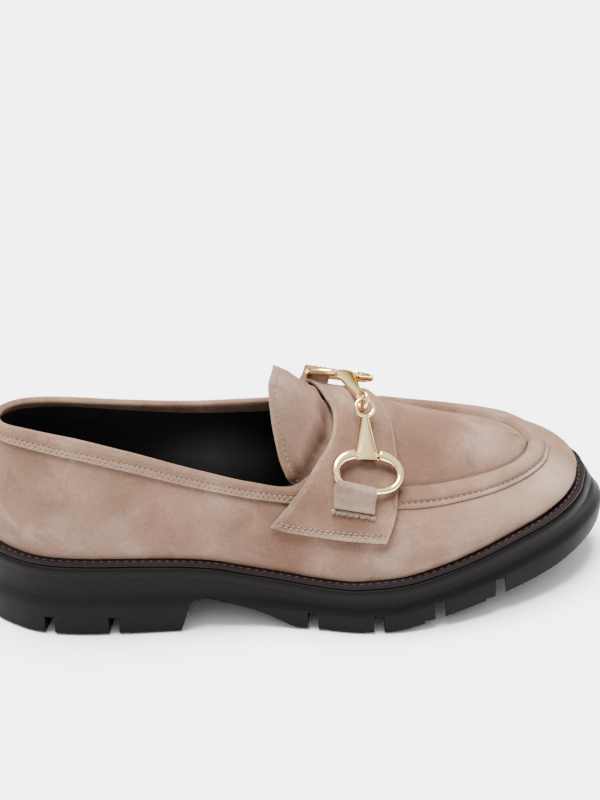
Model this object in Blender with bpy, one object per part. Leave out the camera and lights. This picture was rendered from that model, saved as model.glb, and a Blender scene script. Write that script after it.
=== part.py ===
"""Bit loafer for the right foot: rubber lug outsole, welt, insole, hollow suede upper,
tongue, saddle strap and a two-part metal bit held by suede tabs.

X runs from heel to toe, Y towards the inner side of the foot, Z up. The origin is the
middle of the ground contact box.
"""
import math
import bmesh
import bpy
import numpy as np
from mathutils import Vector
from mathutils.bvhtree import BVHTree

# Sizes in metres.
SOLE_LENGTH = 0.280
BALL_WIDTH = 0.105
HEEL_HEIGHT = 0.035
COLLAR_HEIGHT = 0.094
FIT_GAP = 0.0003

LUG_DEPTH = 0.0065
NOTCH_HEIGHT = 0.0095
GROOVE_WIDTH = 0.0044
PAD_RELIEF = 0.0010
RELIEF_WIDTH = 0.0128
RIM_BAND = 0.0045
WALL_HOLLOW = 0.0020
TOE_LEAN = 0.0080

WELT_THICK = 0.0020
WELT_LEDGE = 0.0054
WELT_INSET = 0.0009
WELT_WIDTH = 0.0150
INSOLE_THICK = 0.0040

UPPER_WALL = 0.0018
COLLAR_BAND = 0.0010
RIDGE_RISE = 0.0022
BELLY_SWELL = 0.0014
SIDE_BULGE = 0.0050

TONGUE_THICK = 0.0018
SADDLE_THICK = 0.0018
TAB_THICK = 0.0012
TAB_WIDTH = 0.0165

RING_LONG = 0.0310
RING_HIGH = 0.0190
RING_TUBE = 0.0015
RING_FLARE = 0.0025
BAR_WIDE = 0.0097
BAR_NARROW = 0.0030
BAR_THICK = 0.0024
EYE_RADIUS = 0.0039
EYE_TUBE = 0.0009
EYE_OVERLAP = 0.0042

SIDE_STEPS = 40

# Tables. A place is a share of the sole length measured from the heel. A turn runs from
# 0 at the back of the heel to 1 at the tip of the toe, along either side. Side to side
# values are shares of the ball width, heights of the heel or collar height.

# columns: place, outer edge, inner edge
SOLE_PLAN = [
    (0.000, 0.014, 0.014),
    (0.011, -0.100, 0.124),
    (0.032, -0.186, 0.214),
    (0.054, -0.243, 0.270),
    (0.075, -0.286, 0.303),
    (0.114, -0.332, 0.339),
    (0.179, -0.367, 0.345),
    (0.261, -0.389, 0.310),
    (0.346, -0.405, 0.233),
    (0.400, -0.412, 0.208),
    (0.450, -0.435, 0.229),
    (0.514, -0.486, 0.308),
    (0.579, -0.541, 0.390),
    (0.643, -0.561, 0.432),
    (0.707, -0.543, 0.450),
    (0.768, -0.507, 0.446),
    (0.829, -0.451, 0.414),
    (0.886, -0.383, 0.360),
    (0.929, -0.310, 0.293),
    (0.957, -0.238, 0.233),
    (0.979, -0.162, 0.167),
    (1.000, 0.005, 0.005),
]

# columns: place, height
TREAD_LINE = [
    (0.000, 0.043),
    (0.014, 0.000),
    (0.300, 0.000),
    (0.518, 0.000),
    (0.614, 0.000),
    (0.671, 0.066),
    (0.714, 0.131),
    (0.761, 0.189),
    (0.804, 0.240),
    (0.850, 0.294),
    (0.893, 0.351),
    (0.946, 0.437),
    (1.000, 0.509),
]

# columns: place, height
RIM_LINE = [
    (0.000, 1.029),
    (0.071, 1.009),
    (0.143, 0.994),
    (0.214, 0.980),
    (0.304, 0.944),
    (0.360, 0.882),
    (0.409, 0.775),
    (0.454, 0.708),
    (0.493, 0.660),
    (0.532, 0.630),
    (0.565, 0.625),
    (0.600, 0.645),
    (0.640, 0.673),
    (0.671, 0.706),
    (0.714, 0.769),
    (0.761, 0.846),
    (0.804, 0.923),
    (0.850, 1.000),
    (0.893, 1.063),
    (0.946, 1.131),
    (1.000, 1.171),
]

# columns: turn, inward lean of the rim on the outer side and on the inner side
RIM_LEAN = [
    (0.000, 0.00, 0.00),
    (0.720, 0.00, 0.00),
    (0.770, 0.00, 0.10),
    (0.810, 0.10, 0.28),
    (0.860, 0.33, 0.53),
    (0.920, 0.75, 0.83),
    (1.000, 1.00, 1.00),
]

# columns: turn, share of the welt's ledge that the upper leaves open
LEDGE_SHARE = [
    (0.00, 0.90),
    (0.12, 0.72),
    (0.30, 0.58),
    (0.60, 0.60),
    (0.75, 0.74),
    (0.88, 0.92),
    (1.00, 1.00),
]

# columns: turn, outer side x y z, inner side x y z
SEAM_LINE = [
    (0.000, 0.041, 0.005, 0.922, 0.041, 0.005, 0.922),
    (0.080, 0.049, -0.102, 0.946, 0.053, 0.108, 0.893),
    (0.160, 0.077, -0.196, 0.946, 0.086, 0.190, 0.872),
    (0.240, 0.148, -0.255, 0.898, 0.159, 0.248, 0.823),
    (0.320, 0.239, -0.279, 0.809, 0.249, 0.257, 0.769),
    (0.400, 0.352, -0.290, 0.686, 0.360, 0.257, 0.713),
    (0.450, 0.429, -0.310, 0.624, 0.430, 0.267, 0.687),
    (0.490, 0.489, -0.338, 0.598, 0.486, 0.290, 0.667),
    (0.520, 0.535, -0.371, 0.590, 0.532, 0.319, 0.652),
    (0.550, 0.574, -0.400, 0.584, 0.570, 0.341, 0.638),
    (0.600, 0.648, -0.410, 0.566, 0.646, 0.362, 0.617),
    (0.660, 0.716, -0.379, 0.544, 0.716, 0.364, 0.589),
    (0.740, 0.808, -0.300, 0.536, 0.807, 0.329, 0.564),
    (0.820, 0.870, -0.195, 0.535, 0.868, 0.257, 0.553),
    (0.900, 0.901, -0.100, 0.540, 0.900, 0.148, 0.548),
    (1.000, 0.913, -0.010, 0.549, 0.913, -0.010, 0.549),
]

# columns: turn, outer side x y z, inner side x y z
CREASE_LINE = [
    (0.000, 0.044, 0.005, 0.955, 0.044, 0.005, 0.955),
    (0.080, 0.052, -0.097, 0.978, 0.056, 0.102, 0.932),
    (0.160, 0.080, -0.184, 0.984, 0.088, 0.174, 0.914),
    (0.240, 0.150, -0.238, 0.936, 0.160, 0.229, 0.872),
    (0.320, 0.240, -0.259, 0.855, 0.249, 0.240, 0.817),
    (0.400, 0.353, -0.271, 0.731, 0.360, 0.244, 0.762),
    (0.450, 0.428, -0.290, 0.667, 0.434, 0.252, 0.738),
    (0.490, 0.486, -0.316, 0.643, 0.488, 0.267, 0.724),
    (0.520, 0.530, -0.338, 0.660, 0.537, 0.271, 0.740),
    (0.550, 0.571, -0.329, 0.665, 0.580, 0.257, 0.745),
    (0.600, 0.651, -0.295, 0.602, 0.654, 0.248, 0.709),
    (0.660, 0.713, -0.273, 0.584, 0.718, 0.240, 0.663),
    (0.740, 0.789, -0.221, 0.579, 0.793, 0.214, 0.621),
    (0.820, 0.838, -0.157, 0.577, 0.843, 0.170, 0.601),
    (0.900, 0.868, -0.081, 0.584, 0.871, 0.090, 0.589),
    (1.000, 0.880, -0.010, 0.588, 0.880, -0.010, 0.588),
]

# columns: turn, outer side x y z, inner side x y z
TOP_LINE = [
    (0.000, 0.049, 0.005, 0.986, 0.049, 0.005, 0.986),
    (0.080, 0.055, -0.090, 1.008, 0.060, 0.095, 0.964),
    (0.160, 0.083, -0.171, 1.020, 0.091, 0.160, 0.951),
    (0.240, 0.152, -0.219, 0.979, 0.162, 0.212, 0.903),
    (0.320, 0.240, -0.241, 0.892, 0.249, 0.225, 0.857),
    (0.400, 0.353, -0.252, 0.759, 0.360, 0.229, 0.817),
    (0.450, 0.427, -0.271, 0.689, 0.437, 0.238, 0.800),
    (0.490, 0.483, -0.295, 0.663, 0.490, 0.243, 0.791),
    (0.520, 0.526, -0.286, 0.738, 0.535, 0.210, 0.820),
    (0.550, 0.559, -0.190, 0.839, 0.564, 0.133, 0.864),
    (0.575, 0.573, -0.090, 0.897, 0.574, 0.057, 0.900),
    (0.600, 0.575, -0.014, 0.920, 0.575, -0.014, 0.920),
    (0.660, 0.615, -0.014, 0.868, 0.615, -0.014, 0.868),
    (0.740, 0.694, -0.014, 0.774, 0.694, -0.014, 0.774),
    (0.820, 0.764, -0.014, 0.712, 0.764, -0.014, 0.712),
    (0.900, 0.820, -0.014, 0.669, 0.820, -0.014, 0.669),
    (1.000, 0.858, -0.014, 0.635, 0.858, -0.014, 0.635),
]

# columns: turn, share of the side bulge half way up
SIDE_SWELL = [
    (0.00, 1.00),
    (0.16, 0.80),
    (0.32, 0.50),
    (0.48, 0.30),
    (0.64, 0.40),
    (0.82, 0.70),
    (1.00, 0.90),
]

# columns: angle from straight up towards the outer side, rear edge place, front edge place
SADDLE_EDGE = [
    (-84, 0.440, 0.585),
    (-65, 0.470, 0.600),
    (-48, 0.500, 0.612),
    (-32, 0.527, 0.622),
    (-16, 0.545, 0.633),
    (-2, 0.557, 0.644),
    (10, 0.564, 0.651),
    (22, 0.561, 0.654),
    (34, 0.550, 0.654),
    (46, 0.527, 0.653),
    (58, 0.506, 0.648),
    (71, 0.478, 0.639),
    (82.5, 0.450, 0.619),
]

# The lower edge of the strap drops this many degrees from its rear to its front corner.
SADDLE_SLANT = 7.5

# columns: angle, tongue reach from the foot axis at the places of TONGUE_PLACES
TONGUE_PLACES = [0.455, 0.500, 0.550, 0.600]
TONGUE_REACH = [
    (-62, 0.330, 0.330, 0.330, 0.330),
    (-45, 0.410, 0.400, 0.375, 0.350),
    (-30, 0.485, 0.450, 0.395, 0.355),
    (-18, 0.535, 0.480, 0.405, 0.358),
    (-8, 0.580, 0.522, 0.412, 0.360),
    (2, 0.632, 0.552, 0.418, 0.360),
    (10, 0.652, 0.566, 0.424, 0.358),
    (17, 0.640, 0.552, 0.411, 0.355),
    (24, 0.572, 0.504, 0.398, 0.350),
    (32, 0.470, 0.440, 0.380, 0.345),
    (43, 0.382, 0.380, 0.360, 0.335),
    (62, 0.318, 0.318, 0.320, 0.320),
]

# columns: angle, rear edge place of the tongue
TONGUE_EDGE = [
    (-62, 0.520),
    (-45, 0.505),
    (-30, 0.492),
    (-18, 0.484),
    (-8, 0.480),
    (2, 0.476),
    (8, 0.472),
    (13, 0.466),
    (18, 0.461),
    (24, 0.461),
    (32, 0.466),
    (43, 0.473),
    (55, 0.487),
    (62, 0.503),
]

# Tread grooves: place of the outer end on the edge, place of the inner end, reach of the
# inner end across the foot. One table a side.
OUTER_GROOVES = [
    (0.098, 0.160, 0.17),
    (0.196, 0.256, 0.17),
    (0.502, 0.556, 0.20),
    (0.602, 0.645, 0.20),
    (0.697, 0.748, 0.20),
    (0.796, 0.846, 0.18),
]
INNER_GROOVES = [
    (0.172, 0.136, -0.21),
    (0.264, 0.232, -0.21),
    (0.568, 0.549, -0.25),
    (0.664, 0.650, -0.27),
    (0.760, 0.748, -0.26),
    (0.853, 0.842, -0.22),
]

# Arch cut: place, height. The first four points follow the slope of the heel front.
ARCH_SIDE = [
    (0.300, -0.060),
    (0.3035, 0.000),
    (0.320, 0.400),
    (0.332, 0.455),
    (0.352, 0.440),
    (0.392, 0.345),
    (0.432, 0.225),
    (0.478, 0.040),
    (0.496, 0.028),
    (0.512, -0.060),
]

# Heel front in plan: side to side place, shift towards the toe.
HEEL_FRONT = [
    (-0.80, 0.000),
    (-0.10, 0.000),
    (0.05, 0.012),
    (0.20, 0.040),
    (0.34, 0.056),
    (0.80, 0.080),
]


def smooth(rows, at, column=1):
    """Cubic through a table that never swings past its rows."""
    x = np.array([row[0] for row in rows], float)
    y = np.array([row[column] for row in rows], float)
    step = np.diff(x)
    grade = np.diff(y) / step
    slope = np.zeros(len(x))
    slope[0], slope[-1] = grade[0], grade[-1]
    for i in range(1, len(x) - 1):
        if grade[i - 1] * grade[i] > 0:
            w1 = 2 * step[i] + step[i - 1]
            w2 = step[i] + 2 * step[i - 1]
            slope[i] = (w1 + w2) / (w1 / grade[i - 1] + w2 / grade[i])
    at = np.clip(np.asarray(at, float), x[0], x[-1])
    i = np.clip(np.searchsorted(x, at, side="right") - 1, 0, len(x) - 2)
    h = step[i]
    s = (at - x[i]) / h
    return (
        y[i] * (1 + 2 * s) * (1 - s) ** 2
        + slope[i] * h * s * (1 - s) ** 2
        + y[i + 1] * s * s * (3 - 2 * s)
        + slope[i + 1] * h * s * s * (s - 1)
    )


def ease(low, high, at):
    s = np.clip((np.asarray(at, float) - low) / (high - low), 0, 1)
    return s * s * (3 - 2 * s)


def turn_of(place):
    return math.acos(max(-1.0, min(1.0, 1 - 2 * place))) / math.pi


def place_of(turn):
    return (1 - np.cos(np.pi * np.asarray(turn, float))) / 2


PLAN_BY_TURN = [(turn_of(row[0]), row[1], row[2]) for row in SOLE_PLAN]


def ring_turns(steps):
    """Turns and sides of the columns once round the shoe, outer side first."""
    go = np.linspace(0, 1, steps + 1)
    turns = np.concatenate([go, go[-2:0:-1]])
    sides = np.concatenate([np.zeros(steps + 1), np.ones(steps - 1)])
    return turns, sides


def plan_points(turns, sides):
    outer = smooth(PLAN_BY_TURN, turns, 1)
    inner = smooth(PLAN_BY_TURN, turns, 2)
    y = np.where(sides < 0.5, outer, inner) * BALL_WIDTH
    return np.stack([place_of(turns) * SOLE_LENGTH, y], 1)


def plan_ring(steps, inset=0.0, lean=0.0):
    """Sole outline as a ring of columns, moved inwards by the inset and the toe lean."""
    turns, sides = ring_turns(steps)
    points = plan_points(turns, sides)
    along = np.roll(points, -1, 0) - np.roll(points, 1, 0)
    along /= np.linalg.norm(along, axis=1)[:, None]
    out = np.stack([along[:, 1], -along[:, 0]], 1)
    shares = np.where(sides < 0.5, smooth(RIM_LEAN, turns, 1), smooth(RIM_LEAN, turns, 2))
    return points - out * (inset + shares * TOE_LEAN * lean)[:, None]


def rim_ring(steps, inset=0.0):
    return plan_ring(steps, inset, 1.0)


def rim_height(x):
    return smooth(RIM_LINE, np.asarray(x) / SOLE_LENGTH) * HEEL_HEIGHT


def tread_height(x):
    return smooth(TREAD_LINE, np.asarray(x) / SOLE_LENGTH) * HEEL_HEIGHT


def lifted(ring, z):
    return np.column_stack([ring, z])


def mirror_column(k, count):
    return (count - k) % count


def mirror_columns(count):
    return np.array([mirror_column(k, count) for k in range(count)])


def ring_mesh(rings, closed=False):
    """Faces between stacked rings. Open ends are capped across the foot."""
    count = len(rings[0])
    points = np.concatenate(rings)
    faces = []
    last = len(rings) - 1
    for r in range(last + 1 if closed else last):
        low, high = r * count, ((r + 1) % (last + 1)) * count
        for k in range(count):
            n = (k + 1) % count
            faces.append((low + k, low + n, high + n, high + k))
    if not closed:
        for k in range(count // 2):
            a, b = k, k + 1
            c, d = mirror_column(b, count), mirror_column(k, count)
            faces.append(unique((d, c, b, a)))
            top = last * count
            faces.append(unique((top + a, top + b, top + c, top + d)))
    return points, faces


def unique(face):
    kept = []
    for v in face:
        if v not in kept:
            kept.append(v)
    return tuple(kept)


OUTLINE = plan_ring(SIDE_STEPS)
ORIGIN = np.array([SOLE_LENGTH / 2, (OUTLINE[:, 1].min() + OUTLINE[:, 1].max()) / 2, 0.0])


def add_object(name, points, faces, material):
    mesh = bpy.data.meshes.new(name)
    mesh.from_pydata([tuple(p) for p in np.asarray(points) - ORIGIN], [], faces)
    bm = bmesh.new()
    bm.from_mesh(mesh)
    bmesh.ops.remove_doubles(bm, verts=bm.verts, dist=0.00002)
    bmesh.ops.recalc_face_normals(bm, faces=bm.faces)
    bm.to_mesh(mesh)
    bm.free()
    obj = bpy.data.objects.new(name, mesh)
    bpy.context.scene.collection.objects.link(obj)
    if material:
        mesh.materials.append(material)
    mesh.shade_smooth()
    mesh.set_sharp_from_angle(angle=math.radians(38))
    return obj


def make_material(name, color, roughness, metallic=0.0):
    material = bpy.data.materials.new(name)
    material.use_nodes = True
    shader = material.node_tree.nodes["Principled BSDF"]
    shader.inputs["Base Color"].default_value = (*color, 1)
    shader.inputs["Roughness"].default_value = roughness
    shader.inputs["Metallic"].default_value = metallic
    material.diffuse_color = (*color, 1)
    return material


def apply_boolean(obj, cutter, operation="DIFFERENCE"):
    cutter.hide_render = True
    cutter.display_type = "WIRE"
    modifier = obj.modifiers.new("cut", "BOOLEAN")
    modifier.solver = "EXACT"
    modifier.operation = operation
    modifier.object = cutter
    graph = bpy.context.evaluated_depsgraph_get()
    done = bpy.data.meshes.new_from_object(obj.evaluated_get(graph))
    obj.modifiers.remove(modifier)
    old = obj.data
    obj.data = done
    bpy.data.meshes.remove(old)
    bpy.data.objects.remove(cutter)


def slanted_bar(name, start, end, width, floor_drop, tops, past=0.0):
    """Cutter along the tread from start to past the end, with its own top at each end."""
    start, end = np.asarray(start), np.asarray(end)
    along = (end - start) / np.linalg.norm(end - start)
    end = end + along * past
    across = np.array([-along[1], along[0]]) * width / 2
    points = []
    for end_point, top in ((start, tops[0]), (end, tops[1])):
        ground = float(tread_height(end_point[0]))
        for z in (ground - floor_drop, ground + top):
            points.append((*(end_point + across), z))
            points.append((*(end_point - across), z))
    faces = [(0, 1, 3, 2), (4, 6, 7, 5), (0, 4, 5, 1), (2, 3, 7, 6), (1, 5, 7, 3), (0, 2, 6, 4)]
    return add_object(name, points, faces, None)


def groove_ends(edge_place, end_place, end_reach, side):
    turn = turn_of(edge_place)
    edge = plan_points(np.array([turn]), np.array([side]))[0]
    start = edge + np.array([0.0, -0.006 if side < 0.5 else 0.006])
    end = np.array([end_place * SOLE_LENGTH, end_reach * BALL_WIDTH])
    return start, end


def build_outsole(material):
    base = plan_ring(SIDE_STEPS)
    low = tread_height(base[:, 0])
    high = rim_height(rim_ring(SIDE_STEPS, 0.0008)[:, 0])
    span = high - low
    rings = []
    for share, drop, inset, lean in (
        (0, 0.0, 0.0010, 0.12),
        (0, 0.0012, 0.0, 0.08),
        (0.40, 0.0, 0.0, 0.0),
        (0.60, 0.0, WALL_HOLLOW, 0.12),
        (1, -RIM_BAND - 0.0015, WALL_HOLLOW, 0.55),
        (1, -RIM_BAND, 0.0, 0.65),
        (1, -0.0008, 0.0, 0.96),
        (1, 0.0, 0.0008, 1.0),
    ):
        rings.append(lifted(plan_ring(SIDE_STEPS, inset, lean), low + span * share + drop))
    points, faces = ring_mesh(rings)
    sole = add_object("outsole", points, faces, material)
    apply_boolean(sole, arch_cutter())
    for table, side in ((OUTER_GROOVES, 0.0), (INNER_GROOVES, 1.0)):
        for row in table:
            start, end = groove_ends(*row, side)
            relief = slanted_bar(
                "relief", start, end, RELIEF_WIDTH, 0.004, (PAD_RELIEF, PAD_RELIEF), 0.0025
            )
            apply_boolean(sole, relief)
    for table, side in ((OUTER_GROOVES, 0.0), (INNER_GROOVES, 1.0)):
        for row in table:
            start, end = groove_ends(*row, side)
            groove = slanted_bar(
                "groove", start, end, GROOVE_WIDTH, 0.004, (NOTCH_HEIGHT, LUG_DEPTH)
            )
            apply_boolean(sole, groove)
    return sole


def arch_cutter():
    reaches = [-0.80, -0.10, 0.05, 0.20, 0.34, 0.80]
    points, faces = [], []
    count = len(ARCH_SIDE)
    for reach in reaches:
        shift = float(np.interp(reach, *zip(*HEEL_FRONT)))
        for i, (place, height) in enumerate(ARCH_SIDE):
            x = place + shift * (1.0 if i < 5 else 0.5 if i < 7 else 0.0)
            points.append((x * SOLE_LENGTH, reach * BALL_WIDTH, height * HEEL_HEIGHT))
    for s in range(len(reaches) - 1):
        for i in range(count):
            n = (i + 1) % count
            faces.append((s * count + i, s * count + n, (s + 1) * count + n, (s + 1) * count + i))
    faces.append(tuple(range(count)))
    faces.append(tuple(reversed(range((len(reaches) - 1) * count, len(reaches) * count))))
    return add_object("arch", points, faces, None)


def foot_inset(turns):
    """How far inside the rim the upper meets the welt."""
    return WELT_INSET + WELT_LEDGE * smooth(LEDGE_SHARE, turns)


def welt_top(x):
    return rim_height(x) + FIT_GAP + WELT_THICK


def build_welt(material):
    rings = []
    for share in (1.0, 0.75, 0.5, 0.25, 0.0):
        ring = rim_ring(SIDE_STEPS, WELT_INSET + WELT_WIDTH * share)
        rings.append(lifted(ring, rim_height(ring[:, 0]) + FIT_GAP))
    outer = rim_ring(SIDE_STEPS, WELT_INSET)
    rings.append(lifted(outer, welt_top(outer[:, 0]) - 0.0005))
    for share in (0.035, 0.35, 0.65, 1.0):
        ring = rim_ring(SIDE_STEPS, WELT_INSET + WELT_WIDTH * share)
        rings.append(lifted(ring, welt_top(ring[:, 0])))
    points, faces = ring_mesh(rings, closed=True)
    return add_object("welt", points, faces, material)


def line_ring(table, turns, sides):
    """A height line of the upper: outer side columns 1 to 3, inner side 4 to 6."""
    scale = np.array([SOLE_LENGTH, BALL_WIDTH, COLLAR_HEIGHT])
    outer = np.stack([smooth(table, turns, c) for c in (1, 2, 3)], 1)
    inner = np.stack([smooth(table, turns, c) for c in (4, 5, 6)], 1)
    return np.where(sides[:, None] < 0.5, outer, inner) * scale


ROW_PLACES = [0, 0.5, 1, 1.5, 2, 2.5, 3, 3.04, 3.25, 3.5, 3.75, 3.96, 4, 4.3, 4.65, 5]
THROAT_TURN = 0.60


def upper_lines(steps):
    """The six height lines that every column of the upper passes through."""
    turns, sides = ring_turns(steps)
    inset = foot_inset(turns)
    foot = rim_ring(steps, inset)
    foot_line = lifted(foot, welt_top(foot[:, 0]) + FIT_GAP)
    seam = line_ring(SEAM_LINE, turns, sides)
    crease = line_ring(CREASE_LINE, turns, sides)
    top = line_ring(TOP_LINE, turns, sides)
    mirror = mirror_columns(len(turns))
    joined = (turns >= THROAT_TURN - 1e-9)[:, None]
    top = np.where(joined, (top + top[mirror]) / 2, top)
    belly_plan = rim_ring(steps, inset - BELLY_SWELL)
    belly = lifted(belly_plan, foot_line[:, 2] + 0.30 * (seam[:, 2] - foot_line[:, 2]))
    outward = foot - rim_ring(steps, inset + 0.001)
    outward /= np.linalg.norm(outward, axis=1)[:, None]
    middle = (belly + seam) / 2
    middle[:, :2] += outward * (SIDE_BULGE * smooth(SIDE_SWELL, turns))[:, None]
    return turns, sides, [foot_line, belly, middle, seam, crease, top]


def column_curves(lines, turns, places):
    """Points of every column at the row places, 0 at the foot line and 5 at the top."""
    lines = np.stack(lines)
    count = lines.shape[1]
    mirror = mirror_columns(count)
    joined = (turns >= THROAT_TURN - 1e-9)[:, None]
    beyond = np.where(joined, lines[4][mirror], 2 * lines[5] - lines[4])
    below = 2 * lines[0] - lines[1]
    full = np.concatenate([below[None], lines, beyond[None]])
    gaps = np.maximum(np.linalg.norm(np.diff(full, axis=0), axis=2), 1e-6) ** 0.5
    rows = []
    for place in places:
        i = min(int(place), 4)
        s = place - i
        p0, p1, p2, p3 = full[i], full[i + 1], full[i + 2], full[i + 3]
        g0, g1, g2 = gaps[i][:, None], gaps[i + 1][:, None], gaps[i + 2][:, None]
        m1 = (p1 - p0) / g0 - (p2 - p0) / (g0 + g1) + (p2 - p1) / g1
        m2 = (p2 - p1) / g1 - (p3 - p1) / (g1 + g2) + (p3 - p2) / g2
        h = g1
        rows.append(
            p1 * (1 + 2 * s) * (1 - s) ** 2
            + m1 * h * s * (1 - s) ** 2
            + p2 * s * s * (3 - 2 * s)
            + m2 * h * s * s * (s - 1)
        )
    return np.stack(rows)


def grid_normals(grid, turns):
    around = np.roll(grid, -1, 1) - np.roll(grid, 1, 1)
    upward = np.empty_like(grid)
    upward[1:-1] = grid[2:] - grid[:-2]
    upward[0] = grid[1] - grid[0]
    upward[-1] = grid[-1] - grid[-2]
    normals = np.cross(around, upward)
    size = np.linalg.norm(normals, axis=2)[:, :, None]
    normals = normals / np.maximum(size, 1e-12)
    count = grid.shape[1]
    mirror = mirror_columns(count)
    joined = turns >= THROAT_TURN - 1e-9
    crown = normals[-2] + normals[-2][mirror]
    crown /= np.linalg.norm(crown, axis=1)[:, None]
    normals[-1][joined] = crown[joined]
    return normals


def wall_rise(place, turns):
    """How far the surface stands out: collar band at the back, apron ridge in front."""
    back = 1 - ease(0.488, 0.512, turns)
    front = ease(0.572, 0.606, turns)
    band = COLLAR_BAND if place > 3.01 else 0.0
    ridge = 0.0
    if 3.01 < place <= 4:
        ridge = COLLAR_BAND + RIDGE_RISE * math.sin(math.pi * (place - 3)) ** 0.7
        if place > 3.98:
            ridge = 0.0
    elif place > 4:
        ridge = 0.0006 * float(ease(4, 4.3, place))
    return back * band + front * ridge


def upper_grids(steps, places):
    turns, sides, lines = upper_lines(steps)
    grid = column_curves(lines, turns, places)
    normals = grid_normals(grid, turns)
    normals[0, :, 2] = 0
    normals[0] /= np.linalg.norm(normals[0], axis=1)[:, None]
    rise = np.stack([wall_rise(p, turns) for p in places])
    return turns, grid, normals, grid + normals * rise[:, :, None]


def build_upper(material):
    turns, grid, normals, outer = upper_grids(SIDE_STEPS, ROW_PLACES)
    inner_rows = [0, 2, 4, 6, 9, 12, 13, 15]
    inner = (grid - normals * UPPER_WALL)[inner_rows]
    rows, count = outer.shape[:2]
    joined = turns >= THROAT_TURN - 1e-9
    points = np.concatenate([outer.reshape(-1, 3), inner.reshape(-1, 3)])
    start = rows * count
    faces = []
    for r in range(rows - 1):
        for k in range(count):
            n = (k + 1) % count
            faces.append((r * count + k, r * count + n, (r + 1) * count + n, (r + 1) * count + k))
    for r in range(len(inner_rows) - 1):
        for k in range(count):
            n = (k + 1) % count
            low, high = start + r * count, start + (r + 1) * count
            faces.append((low + k, high + k, high + n, low + n))
    top_out, top_in = (rows - 1) * count, start + (len(inner_rows) - 1) * count
    for k in range(count):
        n = (k + 1) % count
        faces.append((k, start + k, start + n, n))
        if not (joined[k] and joined[n]):
            faces.append((top_out + k, top_out + n, top_in + n, top_in + k))
    return add_object("upper", points, faces, material)


def build_insole(material):
    inset = foot_inset(ring_turns(SIDE_STEPS)[0]) + UPPER_WALL + 0.0004
    ring = rim_ring(SIDE_STEPS, inset)
    soft = rim_ring(SIDE_STEPS, inset + 0.0008)
    low = welt_top(ring[:, 0]) + FIT_GAP
    rings = [
        lifted(ring, low),
        lifted(ring, low + INSOLE_THICK - 0.0008),
        lifted(soft, low + INSOLE_THICK),
    ]
    points, faces = ring_mesh(rings)
    return add_object("insole", points, faces, material)


AXIS_REACH = -0.015
AXIS_HEIGHT = 0.468


def axis_point(place):
    return np.array([place * SOLE_LENGTH, AXIS_REACH * BALL_WIDTH, AXIS_HEIGHT * COLLAR_HEIGHT])


def ray_way(angle):
    a = math.radians(angle)
    return np.array([0.0, -math.sin(a), math.cos(a)])


def skin_of(objects):
    return [BVHTree.FromObject(o, bpy.context.evaluated_depsgraph_get()) for o in objects]


def outer_reach(trees, place, angle):
    """Distance from the foot axis to the outermost surface, or None."""
    way = ray_way(angle)
    far = axis_point(place) - ORIGIN + way * 0.2
    best = None
    for tree in trees:
        hit = tree.ray_cast(Vector(far), Vector(-way), 0.2)
        if hit[0] is not None:
            reach = 0.2 - hit[3]
            best = reach if best is None else max(best, reach)
    return best


def inner_reach(tree, place, angle):
    way = ray_way(angle)
    hit = tree.ray_cast(Vector(axis_point(place) - ORIGIN), Vector(way), 0.2)
    return hit[3] if hit[0] is not None else None


def near_places(place, angle, d_place, d_angle):
    for i in (-1, -0.5, 0, 0.5, 1):
        for j in (-1, -0.5, 0, 0.5, 1):
            yield place + i * d_place, angle + j * d_angle


def sheet_mesh(name, nodes, reach, thick, material):
    """Closed sheet from a grid of (place, angle) nodes and the reach of its under side."""
    rows, cols = len(nodes), len(nodes[0])
    under, over = [], []
    for r in range(rows):
        for c in range(cols):
            place, angle = nodes[r][c]
            base, way = axis_point(place), ray_way(angle)
            under.append(base + way * reach[r][c])
            over.append(base + way * (reach[r][c] + thick))
    points = under + over
    half = rows * cols
    faces = []
    for r in range(rows - 1):
        for c in range(cols - 1):
            a, b = r * cols + c, r * cols + c + 1
            d, e = a + cols, b + cols
            faces.append((a, b, e, d))
            faces.append((half + a, half + d, half + e, half + b))
    edge = [r * cols for r in range(rows)]
    edge += [(rows - 1) * cols + c for c in range(1, cols)]
    edge += [r * cols + cols - 1 for r in range(rows - 2, -1, -1)]
    edge += [c for c in range(cols - 2, 0, -1)]
    for i, a in enumerate(edge):
        b = edge[(i + 1) % len(edge)]
        faces.append((a, b, half + b, half + a))
    return add_object(name, points, faces, material)


def tongue_reach(place, angle):
    values = [float(smooth(TONGUE_REACH, angle, c)) for c in (1, 2, 3, 4)]
    return float(np.interp(place, TONGUE_PLACES, values)) * BALL_WIDTH


def build_tongue(upper, material):
    tree = skin_of([upper])[0]
    angles = np.linspace(-58, 60, 20)
    shares = np.linspace(0, 1, 12)
    nodes, reach = [], []
    for angle in angles:
        rear = float(smooth(TONGUE_EDGE, angle))
        row, values = [], []
        for share in shares:
            place = rear + (0.600 - rear) * share
            want = tongue_reach(place, angle)
            for p, a in near_places(place, angle, 0.014, 6.5):
                limit = inner_reach(tree, p, a)
                if limit is not None:
                    want = min(want, limit - FIT_GAP)
            row.append((place, angle))
            values.append(want - TONGUE_THICK)
        nodes.append(row)
        reach.append(values)
    return sheet_mesh("tongue", nodes, reach, TONGUE_THICK, material)


def filled(reach, passes=6):
    """Lift the dips between neighbours so that the strap spans them."""
    reach = np.array(reach)
    for _ in range(passes):
        for axis in (0, 1):
            a = np.moveaxis(reach, axis, 0)
            a[1:-1] = np.maximum(a[1:-1], (a[:-2] + a[2:]) / 2)
    return reach


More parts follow.
